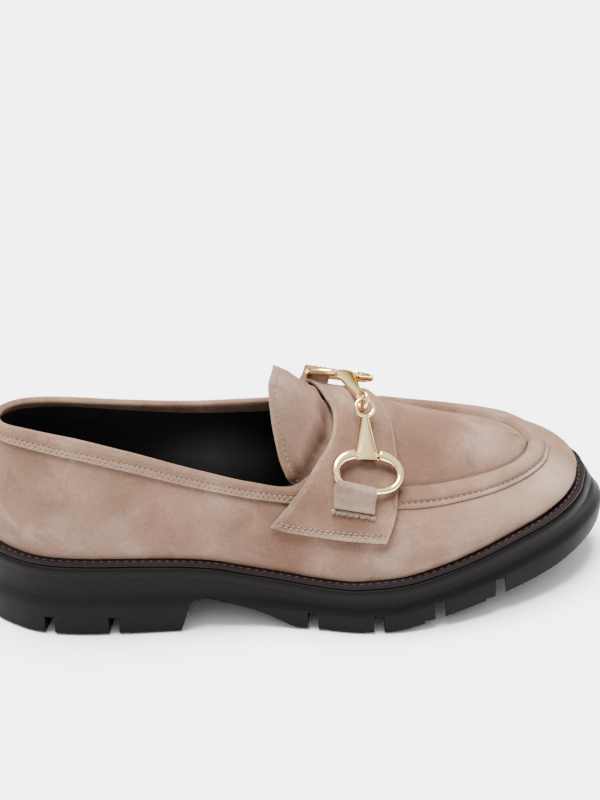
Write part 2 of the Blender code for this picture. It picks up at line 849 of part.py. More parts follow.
def build_saddle(upper, tongue, material):
    trees = skin_of([upper, tongue])
    angles = np.linspace(-84, 82.5, 31)
    shares = np.linspace(0, 1, 9)
    nodes, reach = [], []
    for angle in angles:
        rear = float(smooth(SADDLE_EDGE, angle, 1))
        front = float(smooth(SADDLE_EDGE, angle, 2))
        row, values = [], []
        for share in shares:
            place = rear + (front - rear) * share
            slant = angle + SADDLE_SLANT * math.sqrt(share) * float(ease(30, 82.5, angle))
            hits = [outer_reach(trees, p, a) for p, a in near_places(place, slant, 0.007, 2.8)]
            hits = [h for h in hits if h is not None]
            row.append((place, slant))
            values.append(max(hits) + FIT_GAP)
        nodes.append(row)
        reach.append(values)
    return sheet_mesh("saddle", nodes, filled(reach), SADDLE_THICK, material)


def clear_scene():
    for obj in list(bpy.data.objects):
        bpy.data.objects.remove(obj)


def main():
    clear_scene()
    rubber = make_material("sole_rubber", (0.012, 0.010, 0.010), 0.55)
    strip = make_material("welt_leather", (0.022, 0.012, 0.010), 0.60)
    suede = make_material("suede", (0.42, 0.31, 0.25), 0.95)
    lining = make_material("insole_leather", (0.010, 0.010, 0.011), 0.45)
    gold = make_material("gold_metal", (0.83, 0.66, 0.40), 0.18, 1.0)
    build_outsole(rubber)
    build_welt(strip)
    build_insole(lining)
    upper = build_upper(suede)
    tongue = build_tongue(upper, suede)
    saddle = build_saddle(upper, tongue, suede)
    build_bit(upper, saddle, gold, suede)


# columns: share of half the length, share of half the height, flare
RING_PATH = [
    (0.345, 0.86, 1.0),
    (0.50, 0.82, 0.95),
    (0.70, 0.66, 0.75),
    (0.86, 0.38, 0.45),
    (0.91, 0.02, 0.20),
    (0.85, -0.36, 0.05),
    (0.67, -0.68, 0.0),
    (0.38, -0.84, 0.0),
    (0.0, -0.87, 0.0),
]

# columns: place and angle of the ring middle, slant of the tab
BIT_SEATS = {
    "outer": (0.600, 56.0, -1),
    "inner": (0.585, -24.5, 1),
}
JOINT_SEAT = (0.603, 12.0)


def seat_on(trees, place, angle):
    """Point and outward direction on the outermost surface."""
    def at(p, a):
        return axis_point(p) + ray_way(a) * outer_reach(trees, p, a)

    along = at(place + 0.012, angle) - at(place - 0.012, angle)
    across = at(place, angle + 5) - at(place, angle - 5)
    out = np.cross(across, along)
    out /= np.linalg.norm(out)
    if np.dot(out, ray_way(angle)) < 0:
        out = -out
    return at(place, angle), out


def frame_at(origin, toward, out):
    """Right-handed axes: u sideways, v towards the joint, w away from the strap."""
    v = toward - origin
    v -= out * np.dot(v, out)
    v /= np.linalg.norm(v)
    return origin, np.cross(v, out), v, out


def swept_tube(centres, sides, out, radii, heights, closed=False, facets=10):
    points, faces = [], []
    turns = [2 * math.pi * i / facets for i in range(facets)]
    for centre, side, wide, high in zip(centres, sides, radii, heights):
        for a in turns:
            points.append(centre + side * wide * math.cos(a) + out * high * math.sin(a))
    count = len(centres)
    for i in range(count if closed else count - 1):
        n = (i + 1) % count
        for j in range(facets):
            m = (j + 1) % facets
            faces.append((i * facets + j, n * facets + j, n * facets + m, i * facets + m))
    if not closed:
        faces.append(tuple(range(facets)))
        faces.append(tuple(reversed(range((count - 1) * facets, count * facets))))
    return points, faces


def ring_points(axes, extra=0.0):
    origin, u, v, w = axes
    path = [(-a, b, c) for a, b, c in RING_PATH] + RING_PATH[-2::-1]
    centres = [origin + u * a * RING_LONG / 2 + v * b * RING_HIGH / 2 for a, b, c in path]
    sides, radii, heights = [], [], []
    for i, row in enumerate(path):
        before, after = centres[max(i - 1, 0)], centres[min(i + 1, len(path) - 1)]
        along = after - before
        along /= np.linalg.norm(along)
        if i in (0, len(path) - 1):
            along = -u
        sides.append(np.cross(along, w))
        flare = RING_TUBE + (RING_FLARE - RING_TUBE) * row[2]
        radii.append(flare + extra)
        heights.append(RING_TUBE * (1 + 0.12 * row[2]) + extra)
    return swept_tube(centres, sides, w, radii, heights)


def bar_points(start, end, side, out):
    """Flat bar that narrows from start to end, bevelled on its upper face."""
    points, faces = [], []
    for s in (0.0, 0.08, 0.3, 0.5, 0.75, 1.0):
        centre = start + (end - start) * s
        half = (BAR_WIDE + (BAR_NARROW - BAR_WIDE) * s) / 2
        low, high = -BAR_THICK / 2, BAR_THICK / 2
        section = [
            (-half, low), (half, low), (half, high * 0.2),
            (half * 0.45, high), (-half * 0.45, high), (-half, high * 0.2),
        ]
        points.extend(centre + side * a + out * b for a, b in section)
    for i in range(5):
        for j in range(6):
            m = (j + 1) % 6
            faces.append((i * 6 + j, i * 6 + m, (i + 1) * 6 + m, (i + 1) * 6 + j))
    faces.append(tuple(reversed(range(6))))
    faces.append(tuple(range(30, 36)))
    return points, faces


def eye_points(centre, along, third):
    """Closed loop round the centre, in the plane of the two directions."""
    out = np.cross(along, third)
    turns = [2 * math.pi * i / 18 for i in range(18)]
    sides = [along * math.cos(a) + third * math.sin(a) for a in turns]
    centres = [centre + s * EYE_RADIUS for s in sides]
    size = [EYE_TUBE] * 18
    return swept_tube(centres, sides, out, size, size, closed=True, facets=8)


def least_clearance(trees, points):
    """Smallest distance of the points above the strap, measured from the foot axis."""
    least = 1.0
    for p in points:
        place = p[0] / SOLE_LENGTH
        base = axis_point(place)
        angle = math.degrees(math.atan2(-(p[1] - base[1]), p[2] - base[2]))
        under = outer_reach(trees, place, angle)
        if under is not None:
            least = min(least, float(np.linalg.norm(p - base)) - under)
    return least


def half_layout(trees, name, joint, lift):
    """Ring axes and the ends of the bar of one half."""
    place, angle, _ = BIT_SEATS[name]
    seat, out = seat_on(trees, place, angle)
    axes = frame_at(seat + out * lift, joint, out)
    hinge = axes[0] + axes[2] * RING_HIGH / 2 * 0.86
    way = joint - hinge
    way /= np.linalg.norm(way)
    eye = joint - way * EYE_OVERLAP / 2
    start = hinge - way * RING_FLARE * 0.9
    end = eye - way * EYE_RADIUS
    side = axes[1] - way * np.dot(axes[1], way)
    side /= np.linalg.norm(side)
    return axes, start, end, side, np.cross(side, way), eye, way


def build_half(trees, name, joint, gold, suede):
    lift = TAB_THICK + 2 * FIT_GAP + RING_TUBE
    for _ in range(4):
        axes, start, end, side, out, eye, way = half_layout(trees, name, joint, lift)
        bar, bar_faces = bar_points(start, end, side, out)
        ring, ring_faces = ring_points(axes)
        short = min(
            least_clearance(trees, bar) - 3 * FIT_GAP,
            least_clearance(trees, ring) - FIT_GAP - TAB_THICK,
        )
        if short >= 0:
            break
        lift -= short
    third = side if name == "outer" else out
    loop, loop_faces = eye_points(eye, way, third)
    add_object("bit_ring_" + name, ring, ring_faces, gold)
    half = add_object("bit_bar_" + name, bar, bar_faces, gold)
    apply_boolean(half, add_object("eye", loop, loop_faces, gold), "UNION")
    build_tab(trees, name, axes, suede)


def strap_height(trees, axes, u, v):
    """Height of the strap over the ring plane round u, v, negative below the plane."""
    origin, du, dv, dw = axes
    best = -0.009
    for i in (-0.0014, 0.0, 0.0014):
        for j in (-0.0014, 0.0, 0.0014):
            start = origin + du * (u + i) + dv * (v + j) + dw * 0.03 - ORIGIN
            for tree in trees:
                hit = tree.ray_cast(Vector(start), Vector(-dw), 0.08)
                if hit[0] is not None:
                    best = max(best, 0.03 - hit[3])
    return best


def build_tab(trees, name, axes, suede):
    """Suede loop: from the strap over the ring's lower bar and back under it."""
    origin, du, dv, dw = axes
    slant = BIT_SEATS[name][2]
    over = RING_TUBE + 2 * FIT_GAP + TAB_THICK
    columns = np.linspace(-TAB_WIDTH / 2, TAB_WIDTH / 2, 7)
    contour = [
        (-0.0072, "under", 0.0), (-0.0056, "under", 0.0), (-0.0036, "under", 0.0),
        (-0.0015, "under", 0.0), (0.0010, "under", 0.0), (0.0026, "ring", -0.0012),
        (0.0034, "ring", 0.0004), (0.0026, "ring", 0.0022), (0.0008, "ring", over),
        (-0.0012, "ring", over), (-0.0034, "strap", 0.0040), (-0.0052, "strap", 0.0029),
        (-0.0072, "strap", 0.0024),
    ]
    points, faces = [], []
    for c in columns:
        u = slant * 0.0060 + c
        line = -0.0085 + slant * 0.20 * (u - slant * 0.0060)
        for v, mode, rise in contour:
            height = strap_height(trees, axes, u, line + v) + 1.2 * FIT_GAP
            if mode == "under":
                w = height
            elif mode == "strap":
                w = height + rise
            else:
                w = max(rise, height + 0.0002)
            points.append(origin + du * u + dv * (line + v) + dw * w)
    count = len(contour)
    for i in range(len(columns) - 1):
        for j in range(count):
            m = (j + 1) % count
            faces.append((i * count + j, i * count + m, (i + 1) * count + m, (i + 1) * count + j))
    faces.append(tuple(range(count)))
    faces.append(tuple(reversed(range((len(columns) - 1) * count, len(columns) * count))))
    tab = add_object("tab_" + name, points, faces, suede)
    fat, fat_faces = ring_points(axes, extra=FIT_GAP)
    apply_boolean(tab, add_object("bore", fat, fat_faces, None))


def build_bit(upper, saddle, gold, suede):
    trees = skin_of([saddle, upper])
    point, out = seat_on(trees, *JOINT_SEAT)
    joint = point + out * (EYE_RADIUS + EYE_TUBE + 4 * FIT_GAP)
    for name in ("outer", "inner"):
        build_half(trees, name, joint, gold, suede)


main()
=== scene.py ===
# %% [markdown]
# # A suede bit loafer, dressed over its solid model
# The shoe is a right-foot loafer: a hollow suede upper on a thick lugged rubber sole, with a
# strap and a two-part metal bit over the instep. The solid model is already packed, and this
# lesson puts the real surfaces round it: nap, cut edges, thread, rubber and plated metal.
# It could be dressed with materials alone, but the solids are faceted, so each piece is made
# again from the same sizes with a much finer mesh, and then stands for its solid.

import math

import bmesh
import bpy
import numpy as np
from mathutils import Matrix, Vector
from mathutils.bvhtree import BVHTree


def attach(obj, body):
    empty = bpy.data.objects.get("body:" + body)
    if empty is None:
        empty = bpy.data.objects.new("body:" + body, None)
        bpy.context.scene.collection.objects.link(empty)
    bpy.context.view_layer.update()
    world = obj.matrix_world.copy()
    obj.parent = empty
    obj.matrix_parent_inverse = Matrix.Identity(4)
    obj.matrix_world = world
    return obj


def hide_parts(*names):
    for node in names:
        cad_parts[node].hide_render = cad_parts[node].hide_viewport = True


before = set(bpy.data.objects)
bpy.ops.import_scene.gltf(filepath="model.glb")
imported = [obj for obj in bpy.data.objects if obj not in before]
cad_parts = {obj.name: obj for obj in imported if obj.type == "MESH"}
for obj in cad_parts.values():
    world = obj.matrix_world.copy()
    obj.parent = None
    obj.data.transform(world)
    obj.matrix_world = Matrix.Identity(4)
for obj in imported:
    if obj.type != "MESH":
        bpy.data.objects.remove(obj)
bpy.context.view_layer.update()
print("solids:", sorted(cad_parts))

# %% [markdown]
# ## The sizes of the last
# A shoemaker works from a last: a few lengths, and lines drawn round it. The same lengths in
# metres drive every piece here. The lines are tables of shares of those lengths, so a place
# of 0.5 is half way from heel to toe. A turn runs from 0 at the back of the heel to 1 at the
# toe tip along either side, which keeps the columns close where the outline bends most.

# %% Sizes in metres
SOLE_LENGTH = 0.280
BALL_WIDTH = 0.105
HEEL_HEIGHT = 0.035
COLLAR_HEIGHT = 0.094
FIT_GAP = 0.0003
LUG_DEPTH = 0.0065
NOTCH_HEIGHT = 0.0095
GROOVE_WIDTH = 0.0044
PAD_RELIEF = 0.0010
RELIEF_WIDTH = 0.0128
RIM_BAND = 0.0045
WALL_HOLLOW = 0.0020
TOE_LEAN = 0.0080
WELT_THICK = 0.0020
WELT_LEDGE = 0.0054
WELT_INSET = 0.0009
INSOLE_THICK = 0.0040
UPPER_WALL = 0.0018
COLLAR_BAND = 0.0010
RIDGE_RISE = 0.0022
BELLY_SWELL = 0.0014
SIDE_BULGE = 0.0050
TONGUE_THICK = 0.0018
SADDLE_THICK = 0.0018
TAB_THICK = 0.0012
TAB_WIDTH = 0.0165
RING_LONG = 0.0310
RING_HIGH = 0.0190
RING_TUBE = 0.0015
RING_FLARE = 0.0025
BAR_WIDE = 0.0097
BAR_NARROW = 0.0030
BAR_THICK = 0.0024
EYE_RADIUS = 0.0039
EYE_TUBE = 0.0009
EYE_OVERLAP = 0.0042
SIDE_STEPS = 40
print("sole", SOLE_LENGTH * 1000, "mm long,", BALL_WIDTH * 1000, "mm across the ball")

# %% Outline and side lines of the sole
# columns: place, outer edge, inner edge
SOLE_PLAN = [
    (0.000, 0.014, 0.014), (0.011, -0.100, 0.124), (0.032, -0.186, 0.214), (0.054, -0.243, 0.270),
    (0.075, -0.286, 0.303), (0.114, -0.332, 0.339), (0.179, -0.367, 0.345), (0.261, -0.389, 0.310),
    (0.346, -0.405, 0.233), (0.400, -0.412, 0.208), (0.450, -0.435, 0.229), (0.514, -0.486, 0.308),
    (0.579, -0.541, 0.390), (0.643, -0.561, 0.432), (0.707, -0.543, 0.450), (0.768, -0.507, 0.446),
    (0.829, -0.451, 0.414), (0.886, -0.383, 0.360), (0.929, -0.310, 0.293), (0.957, -0.238, 0.233),
    (0.979, -0.162, 0.167), (1.000, 0.005, 0.005),
]

# columns: place, height
TREAD_LINE = [
    (0.000, 0.043), (0.014, 0.000), (0.300, 0.000), (0.518, 0.000), (0.614, 0.000),
    (0.671, 0.066), (0.714, 0.131), (0.761, 0.189), (0.804, 0.240), (0.850, 0.294),
    (0.893, 0.351), (0.946, 0.437), (1.000, 0.509),
]

# columns: place, height
RIM_LINE = [
    (0.000, 1.029), (0.071, 1.009), (0.143, 0.994), (0.214, 0.980), (0.304, 0.944),
    (0.360, 0.882), (0.409, 0.775), (0.454, 0.708), (0.493, 0.660), (0.532, 0.630),
    (0.565, 0.625), (0.600, 0.645), (0.640, 0.673), (0.671, 0.706), (0.714, 0.769),
    (0.761, 0.846), (0.804, 0.923), (0.850, 1.000), (0.893, 1.063), (0.946, 1.131),
    (1.000, 1.171),
]

# columns: turn, inward lean of the rim on the outer side and on the inner side
RIM_LEAN = [
    (0.000, 0.00, 0.00), (0.720, 0.00, 0.00), (0.770, 0.00, 0.10), (0.810, 0.10, 0.28),
    (0.860, 0.33, 0.53), (0.920, 0.75, 0.83), (1.000, 1.00, 1.00),
]

# Tread grooves: place of the outer end on the edge, place of the inner end, reach of the
# inner end across the foot. One table a side.
OUTER_GROOVES = [
    (0.098, 0.160, 0.17), (0.196, 0.256, 0.17), (0.502, 0.556, 0.20),
    (0.602, 0.645, 0.20), (0.697, 0.748, 0.20), (0.796, 0.846, 0.18),
]

INNER_GROOVES = [
    (0.172, 0.136, -0.21), (0.264, 0.232, -0.21), (0.568, 0.549, -0.25),
    (0.664, 0.650, -0.27), (0.760, 0.748, -0.26), (0.853, 0.842, -0.22),
]

# Arch cut: place, height. The first four points follow the slope of the heel front.
ARCH_SIDE = [
    (0.300, -0.060), (0.3035, 0.000), (0.320, 0.400), (0.332, 0.455), (0.352, 0.440),
    (0.392, 0.345), (0.432, 0.225), (0.478, 0.040), (0.496, 0.028), (0.512, -0.060),
]

# Heel front in plan: side to side place, shift towards the toe.
HEEL_FRONT = [
    (-0.80, 0.000), (-0.10, 0.000), (0.05, 0.012),
    (0.20, 0.040), (0.34, 0.056), (0.80, 0.080),
]

print("the arch is cut from", ARCH_SIDE[0][0], "to", ARCH_SIDE[-1][0], "of the length")

# %% Lines of the upper: where the overlays start, the crease, and the top edge
# columns: turn, share of the welt's ledge that the upper leaves open
LEDGE_SHARE = [
    (0.00, 0.90), (0.12, 0.72), (0.30, 0.58), (0.60, 0.60),
    (0.75, 0.74), (0.88, 0.92), (1.00, 1.00),
]

# columns: turn, outer side x y z, inner side x y z
SEAM_LINE = [
    (0.000, 0.041, 0.005, 0.922, 0.041, 0.005, 0.922),
    (0.080, 0.049, -0.102, 0.946, 0.053, 0.108, 0.893),
    (0.160, 0.077, -0.196, 0.946, 0.086, 0.190, 0.872),
    (0.240, 0.148, -0.255, 0.898, 0.159, 0.248, 0.823),
    (0.320, 0.239, -0.279, 0.809, 0.249, 0.257, 0.769),
    (0.400, 0.352, -0.290, 0.686, 0.360, 0.257, 0.713),
    (0.450, 0.429, -0.310, 0.624, 0.430, 0.267, 0.687),
    (0.490, 0.489, -0.338, 0.598, 0.486, 0.290, 0.667),
    (0.520, 0.535, -0.371, 0.590, 0.532, 0.319, 0.652),
    (0.550, 0.574, -0.400, 0.584, 0.570, 0.341, 0.638),
    (0.600, 0.648, -0.410, 0.566, 0.646, 0.362, 0.617),
    (0.660, 0.716, -0.379, 0.544, 0.716, 0.364, 0.589),
    (0.740, 0.808, -0.300, 0.536, 0.807, 0.329, 0.564),
    (0.820, 0.870, -0.195, 0.535, 0.868, 0.257, 0.553),
    (0.900, 0.901, -0.100, 0.540, 0.900, 0.148, 0.548),
    (1.000, 0.913, -0.010, 0.549, 0.913, -0.010, 0.549),
]

# columns: turn, outer side x y z, inner side x y z
CREASE_LINE = [
    (0.000, 0.044, 0.005, 0.955, 0.044, 0.005, 0.955),
    (0.080, 0.052, -0.097, 0.978, 0.056, 0.102, 0.932),
    (0.160, 0.080, -0.184, 0.984, 0.088, 0.174, 0.914),
    (0.240, 0.150, -0.238, 0.936, 0.160, 0.229, 0.872),
    (0.320, 0.240, -0.259, 0.855, 0.249, 0.240, 0.817),
    (0.400, 0.353, -0.271, 0.731, 0.360, 0.244, 0.762),
    (0.450, 0.428, -0.290, 0.667, 0.434, 0.252, 0.738),
    (0.490, 0.486, -0.316, 0.643, 0.488, 0.267, 0.724),
    (0.520, 0.530, -0.338, 0.660, 0.537, 0.271, 0.740),
    (0.550, 0.571, -0.329, 0.665, 0.580, 0.257, 0.745),
    (0.600, 0.651, -0.295, 0.602, 0.654, 0.248, 0.709),
    (0.660, 0.713, -0.273, 0.584, 0.718, 0.240, 0.663),
    (0.740, 0.789, -0.221, 0.579, 0.793, 0.214, 0.621),
    (0.820, 0.838, -0.157, 0.577, 0.843, 0.170, 0.601),
    (0.900, 0.868, -0.081, 0.584, 0.871, 0.090, 0.589),
    (1.000, 0.880, -0.010, 0.588, 0.880, -0.010, 0.588),
]

# columns: turn, outer side x y z, inner side x y z
TOP_LINE = [
    (0.000, 0.049, 0.005, 0.986, 0.049, 0.005, 0.986),
    (0.080, 0.055, -0.090, 1.008, 0.060, 0.095, 0.964),
    (0.160, 0.083, -0.171, 1.020, 0.091, 0.160, 0.951),
    (0.240, 0.152, -0.219, 0.979, 0.162, 0.212, 0.903),
    (0.320, 0.240, -0.241, 0.892, 0.249, 0.225, 0.857),
    (0.400, 0.353, -0.252, 0.759, 0.360, 0.229, 0.817),
    (0.450, 0.427, -0.271, 0.689, 0.437, 0.238, 0.800),
    (0.490, 0.483, -0.295, 0.663, 0.490, 0.243, 0.791),
    (0.520, 0.526, -0.286, 0.738, 0.535, 0.210, 0.820),
    (0.550, 0.559, -0.190, 0.839, 0.564, 0.133, 0.864),
    (0.575, 0.573, -0.090, 0.897, 0.574, 0.057, 0.900),
    (0.600, 0.575, -0.014, 0.920, 0.575, -0.014, 0.920),
    (0.660, 0.615, -0.014, 0.868, 0.615, -0.014, 0.868),
    (0.740, 0.694, -0.014, 0.774, 0.694, -0.014, 0.774),
    (0.820, 0.764, -0.014, 0.712, 0.764, -0.014, 0.712),
    (0.900, 0.820, -0.014, 0.669, 0.820, -0.014, 0.669),
    (1.000, 0.858, -0.014, 0.635, 0.858, -0.014, 0.635),
]

# columns: turn, share of the side bulge half way up
SIDE_SWELL = [
    (0.00, 1.00), (0.16, 0.80), (0.32, 0.50), (0.48, 0.30),
    (0.64, 0.40), (0.82, 0.70), (1.00, 0.90),
]

# columns: angle from straight up towards the outer side, rear edge place, front edge place
SADDLE_EDGE = [
    (-84, 0.440, 0.585), (-65, 0.470, 0.600), (-48, 0.500, 0.612), (-32, 0.527, 0.622),
    (-16, 0.545, 0.633), (-2, 0.557, 0.644), (10, 0.564, 0.651), (22, 0.561, 0.654),
    (34, 0.550, 0.654), (46, 0.527, 0.653), (58, 0.506, 0.648), (71, 0.478, 0.639),
    (82.5, 0.450, 0.619),
]

# The lower edge of the strap drops this many degrees from its rear to its front corner.
SADDLE_SLANT = 7.5

# columns: angle, tongue reach from the foot axis at the places of TONGUE_PLACES
TONGUE_PLACES = [0.455, 0.500, 0.550, 0.600]

TONGUE_REACH = [
    (-62, 0.330, 0.330, 0.330, 0.330),
    (-45, 0.410, 0.400, 0.375, 0.350),
    (-30, 0.485, 0.450, 0.395, 0.355),
    (-18, 0.535, 0.480, 0.405, 0.358),
    (-8, 0.580, 0.522, 0.412, 0.360),
    (2, 0.632, 0.552, 0.418, 0.360),
    (10, 0.652, 0.566, 0.424, 0.358),
    (17, 0.640, 0.552, 0.411, 0.355),
    (24, 0.572, 0.504, 0.398, 0.350),
    (32, 0.470, 0.440, 0.380, 0.345),
    (43, 0.382, 0.380, 0.360, 0.335),
    (62, 0.318, 0.318, 0.320, 0.320),
]

# columns: angle, rear edge place of the tongue
TONGUE_EDGE = [
    (-62, 0.520), (-45, 0.505), (-30, 0.492), (-18, 0.484), (-8, 0.480),
    (2, 0.476), (8, 0.472), (13, 0.466), (18, 0.461), (24, 0.461),
    (32, 0.466), (43, 0.473), (55, 0.487), (62, 0.503),
]

print("top edge at the heel:", round(TOP_LINE[0][3] * COLLAR_HEIGHT * 1000, 1), "mm high")

# %% [markdown]
# ## Curves through the tables
# Straight lines between table rows would show as corners. A plain spline swings past its
# points, which puts waves in a sole edge. This cubic limits its slopes at every row, so a
# curve that only rises in the table only rises on the shoe.

# %% Smooth reading of a table
def cubic(s, width, start, start_slope, end, end_slope):
    """Value at share s of a cubic step of that width, from its ends and end slopes."""
    return (start * (1 + 2 * s) * (1 - s) ** 2 + start_slope * width * s * (1 - s) ** 2
            + end * s * s * (3 - 2 * s) + end_slope * width * s * s * (s - 1))


def smooth(rows, at, column=1):
    """Cubic through a table that never swings past its rows."""
    x = np.array([row[0] for row in rows], float)
    y = np.array([row[column] for row in rows], float)
    step = np.diff(x)
    grade = np.diff(y) / step
    slope = np.zeros(len(x))
    slope[0], slope[-1] = grade[0], grade[-1]
    for i in range(1, len(x) - 1):
        if grade[i - 1] * grade[i] > 0:
            w1 = 2 * step[i] + step[i - 1]
            w2 = step[i] + 2 * step[i - 1]
            slope[i] = (w1 + w2) / (w1 / grade[i - 1] + w2 / grade[i])
    at = np.clip(np.asarray(at, float), x[0], x[-1])
    i = np.clip(np.searchsorted(x, at, side="right") - 1, 0, len(x) - 2)
    h = step[i]
    s = (at - x[i]) / h
    return cubic(s, h, y[i], slope[i], y[i + 1], slope[i + 1])


def ease(low, high, at):
    s = np.clip((np.asarray(at, float) - low) / (high - low), 0, 1)
    return s * s * (3 - 2 * s)


def turn_of(place):
    return math.acos(max(-1.0, min(1.0, 1 - 2 * place))) / math.pi


def place_of(turn):
    return (1 - np.cos(np.pi * np.asarray(turn, float))) / 2


PLAN_BY_TURN = [(turn_of(row[0]), row[1], row[2]) for row in SOLE_PLAN]
print("table rows for the outline:", len(SOLE_PLAN))

# %% The outline as rings of columns
def ring_turns(steps):
    """Turns and sides of the columns once round the shoe, outer side first."""
    go = np.linspace(0, 1, steps + 1)
    turns = np.concatenate([go, go[-2:0:-1]])
    sides = np.concatenate([np.zeros(steps + 1), np.ones(steps - 1)])
    return turns, sides


def plan_points(turns, sides):
    outer = smooth(PLAN_BY_TURN, turns, 1)
    inner = smooth(PLAN_BY_TURN, turns, 2)
    y = np.where(sides < 0.5, outer, inner) * BALL_WIDTH
    return np.stack([place_of(turns) * SOLE_LENGTH, y], 1)


def plan_ring(steps, inset=0.0, lean=0.0):
    """Sole outline as a ring of columns, moved inwards by the inset and the toe lean."""
    turns, sides = ring_turns(steps)
    points = plan_points(turns, sides)
    along = np.roll(points, -1, 0) - np.roll(points, 1, 0)
    along /= np.linalg.norm(along, axis=1)[:, None]
    out = np.stack([along[:, 1], -along[:, 0]], 1)
    shares = np.where(sides < 0.5, smooth(RIM_LEAN, turns, 1), smooth(RIM_LEAN, turns, 2))
    return points - out * (inset + shares * TOE_LEAN * lean)[:, None]


def rim_ring(steps, inset=0.0):
    return plan_ring(steps, inset, 1.0)


def rim_height(x):
    return smooth(RIM_LINE, np.asarray(x) / SOLE_LENGTH) * HEEL_HEIGHT


def tread_height(x):
    return smooth(TREAD_LINE, np.asarray(x) / SOLE_LENGTH) * HEEL_HEIGHT


def lifted(ring, z):
    return np.column_stack([ring, z])


def mirror_column(k, count):
    return (count - k) % count


def mirror_columns(count):
    return np.array([mirror_column(k, count) for k in range(count)])


def sheet_faces(rows, columns, closed=False, start=0, looped=False):
    """Faces of a grid, row after row. Closed joins its last column to its first, looped its rows."""
    faces = []
    for r in range(rows if looped else rows - 1):
        a, b = start + r * columns, start + (r + 1) % rows * columns
        for k in range(columns if closed else columns - 1):
            n = (k + 1) % columns
            faces.append((a + k, a + n, b + n, b + k))
    return faces


def tube_faces(rows, columns, looped=False):
    """Faces of a closed grid with both ends capped, or of one that runs into itself."""
    faces = sheet_faces(rows, columns, closed=True, looped=looped)
    ends = (range(columns), range(rows * columns - 1, (rows - 1) * columns - 1, -1))
    return faces if looped else faces + [tuple(end) for end in ends]


def ring_mesh(rings, closed=False):
    """Faces between stacked rings. Open ends are capped across the foot."""
    count = len(rings[0])
    points = np.concatenate(rings)
    last = len(rings) - 1
    faces = sheet_faces(last + 1, count, closed=True, looped=closed)
    if not closed:
        for k in range(count // 2):
            a, b = k, k + 1
            c, d = mirror_column(b, count), mirror_column(k, count)
            faces.append(tuple(dict.fromkeys((d, c, b, a))))
            top = last * count
            faces.append(tuple(dict.fromkeys((top + a, top + b, top + c, top + d))))
    return points, faces


OUTLINE = plan_ring(SIDE_STEPS)
ORIGIN = np.array([SOLE_LENGTH / 2, (OUTLINE[:, 1].min() + OUTLINE[:, 1].max()) / 2, 0.0])
print("outline:", [round(v * 1000, 1) for v in np.ptp(OUTLINE, axis=0)], "mm")

# %% [markdown]
# ## Colours and nodes
# Colours are read off real swatches as sRGB hex values. Blender shades in linear light, so
# one function turns hex into linear. One more function adds any node with its settings and
# its links, which keeps each material readable as a list.

# %% Helpers for materials
def tint(code):
    """Linear RGBA of an sRGB hex colour."""
    parts = [int(code[i : i + 2], 16) / 255 for i in (1, 3, 5)]
    return (*[v / 12.92 if v <= 0.04045 else ((v + 0.055) / 1.055) ** 2.4 for v in parts], 1.0)


def add(material, kind, settings=None, links=None):
    """Adds a node. Settings and links are by property name, socket name or socket number."""
    tree = material.node_tree
    node = tree.nodes.new(kind)
    for key, value in (settings or {}).items():
        if isinstance(key, str) and hasattr(node, key):
            setattr(node, key, value)
        else:
            node.inputs[key].default_value = value
    for key, socket in (links or {}).items():
        tree.links.new(socket, node.inputs[key])
    return node


def new_material(name):
    material = bpy.data.materials.new(name)
    material.use_nodes = True
    material.node_tree.nodes.clear()
    return material


def close_material(material, shader):
    output = add(material, "ShaderNodeOutputMaterial")
    material.node_tree.links.new(shader.outputs[0], output.inputs["Surface"])


print("taupe in linear light:", [round(v, 3) for v in tint("#88695A")])

# %% [markdown]
# ## Suede
# Suede is split leather with its flesh side buffed to a short nap. The nap leans one way or
# the other wherever a hand has brushed it, so the eye sees soft clouds of lighter and darker
# taupe, a few centimetres across, and no gloss at all. One noise could give the clouds, but
# brushing leaves streaks inside them, so a second, finer noise is bent by its own distortion.
# The fibres are 0.2 mm thick, too fine to show at this size, so they are drawn 0.9 mm apart.

# %% Brushed suede
NAP_MM = 0.9
BRUSH_MM = 16.0
CLOUD_MM = 46.0


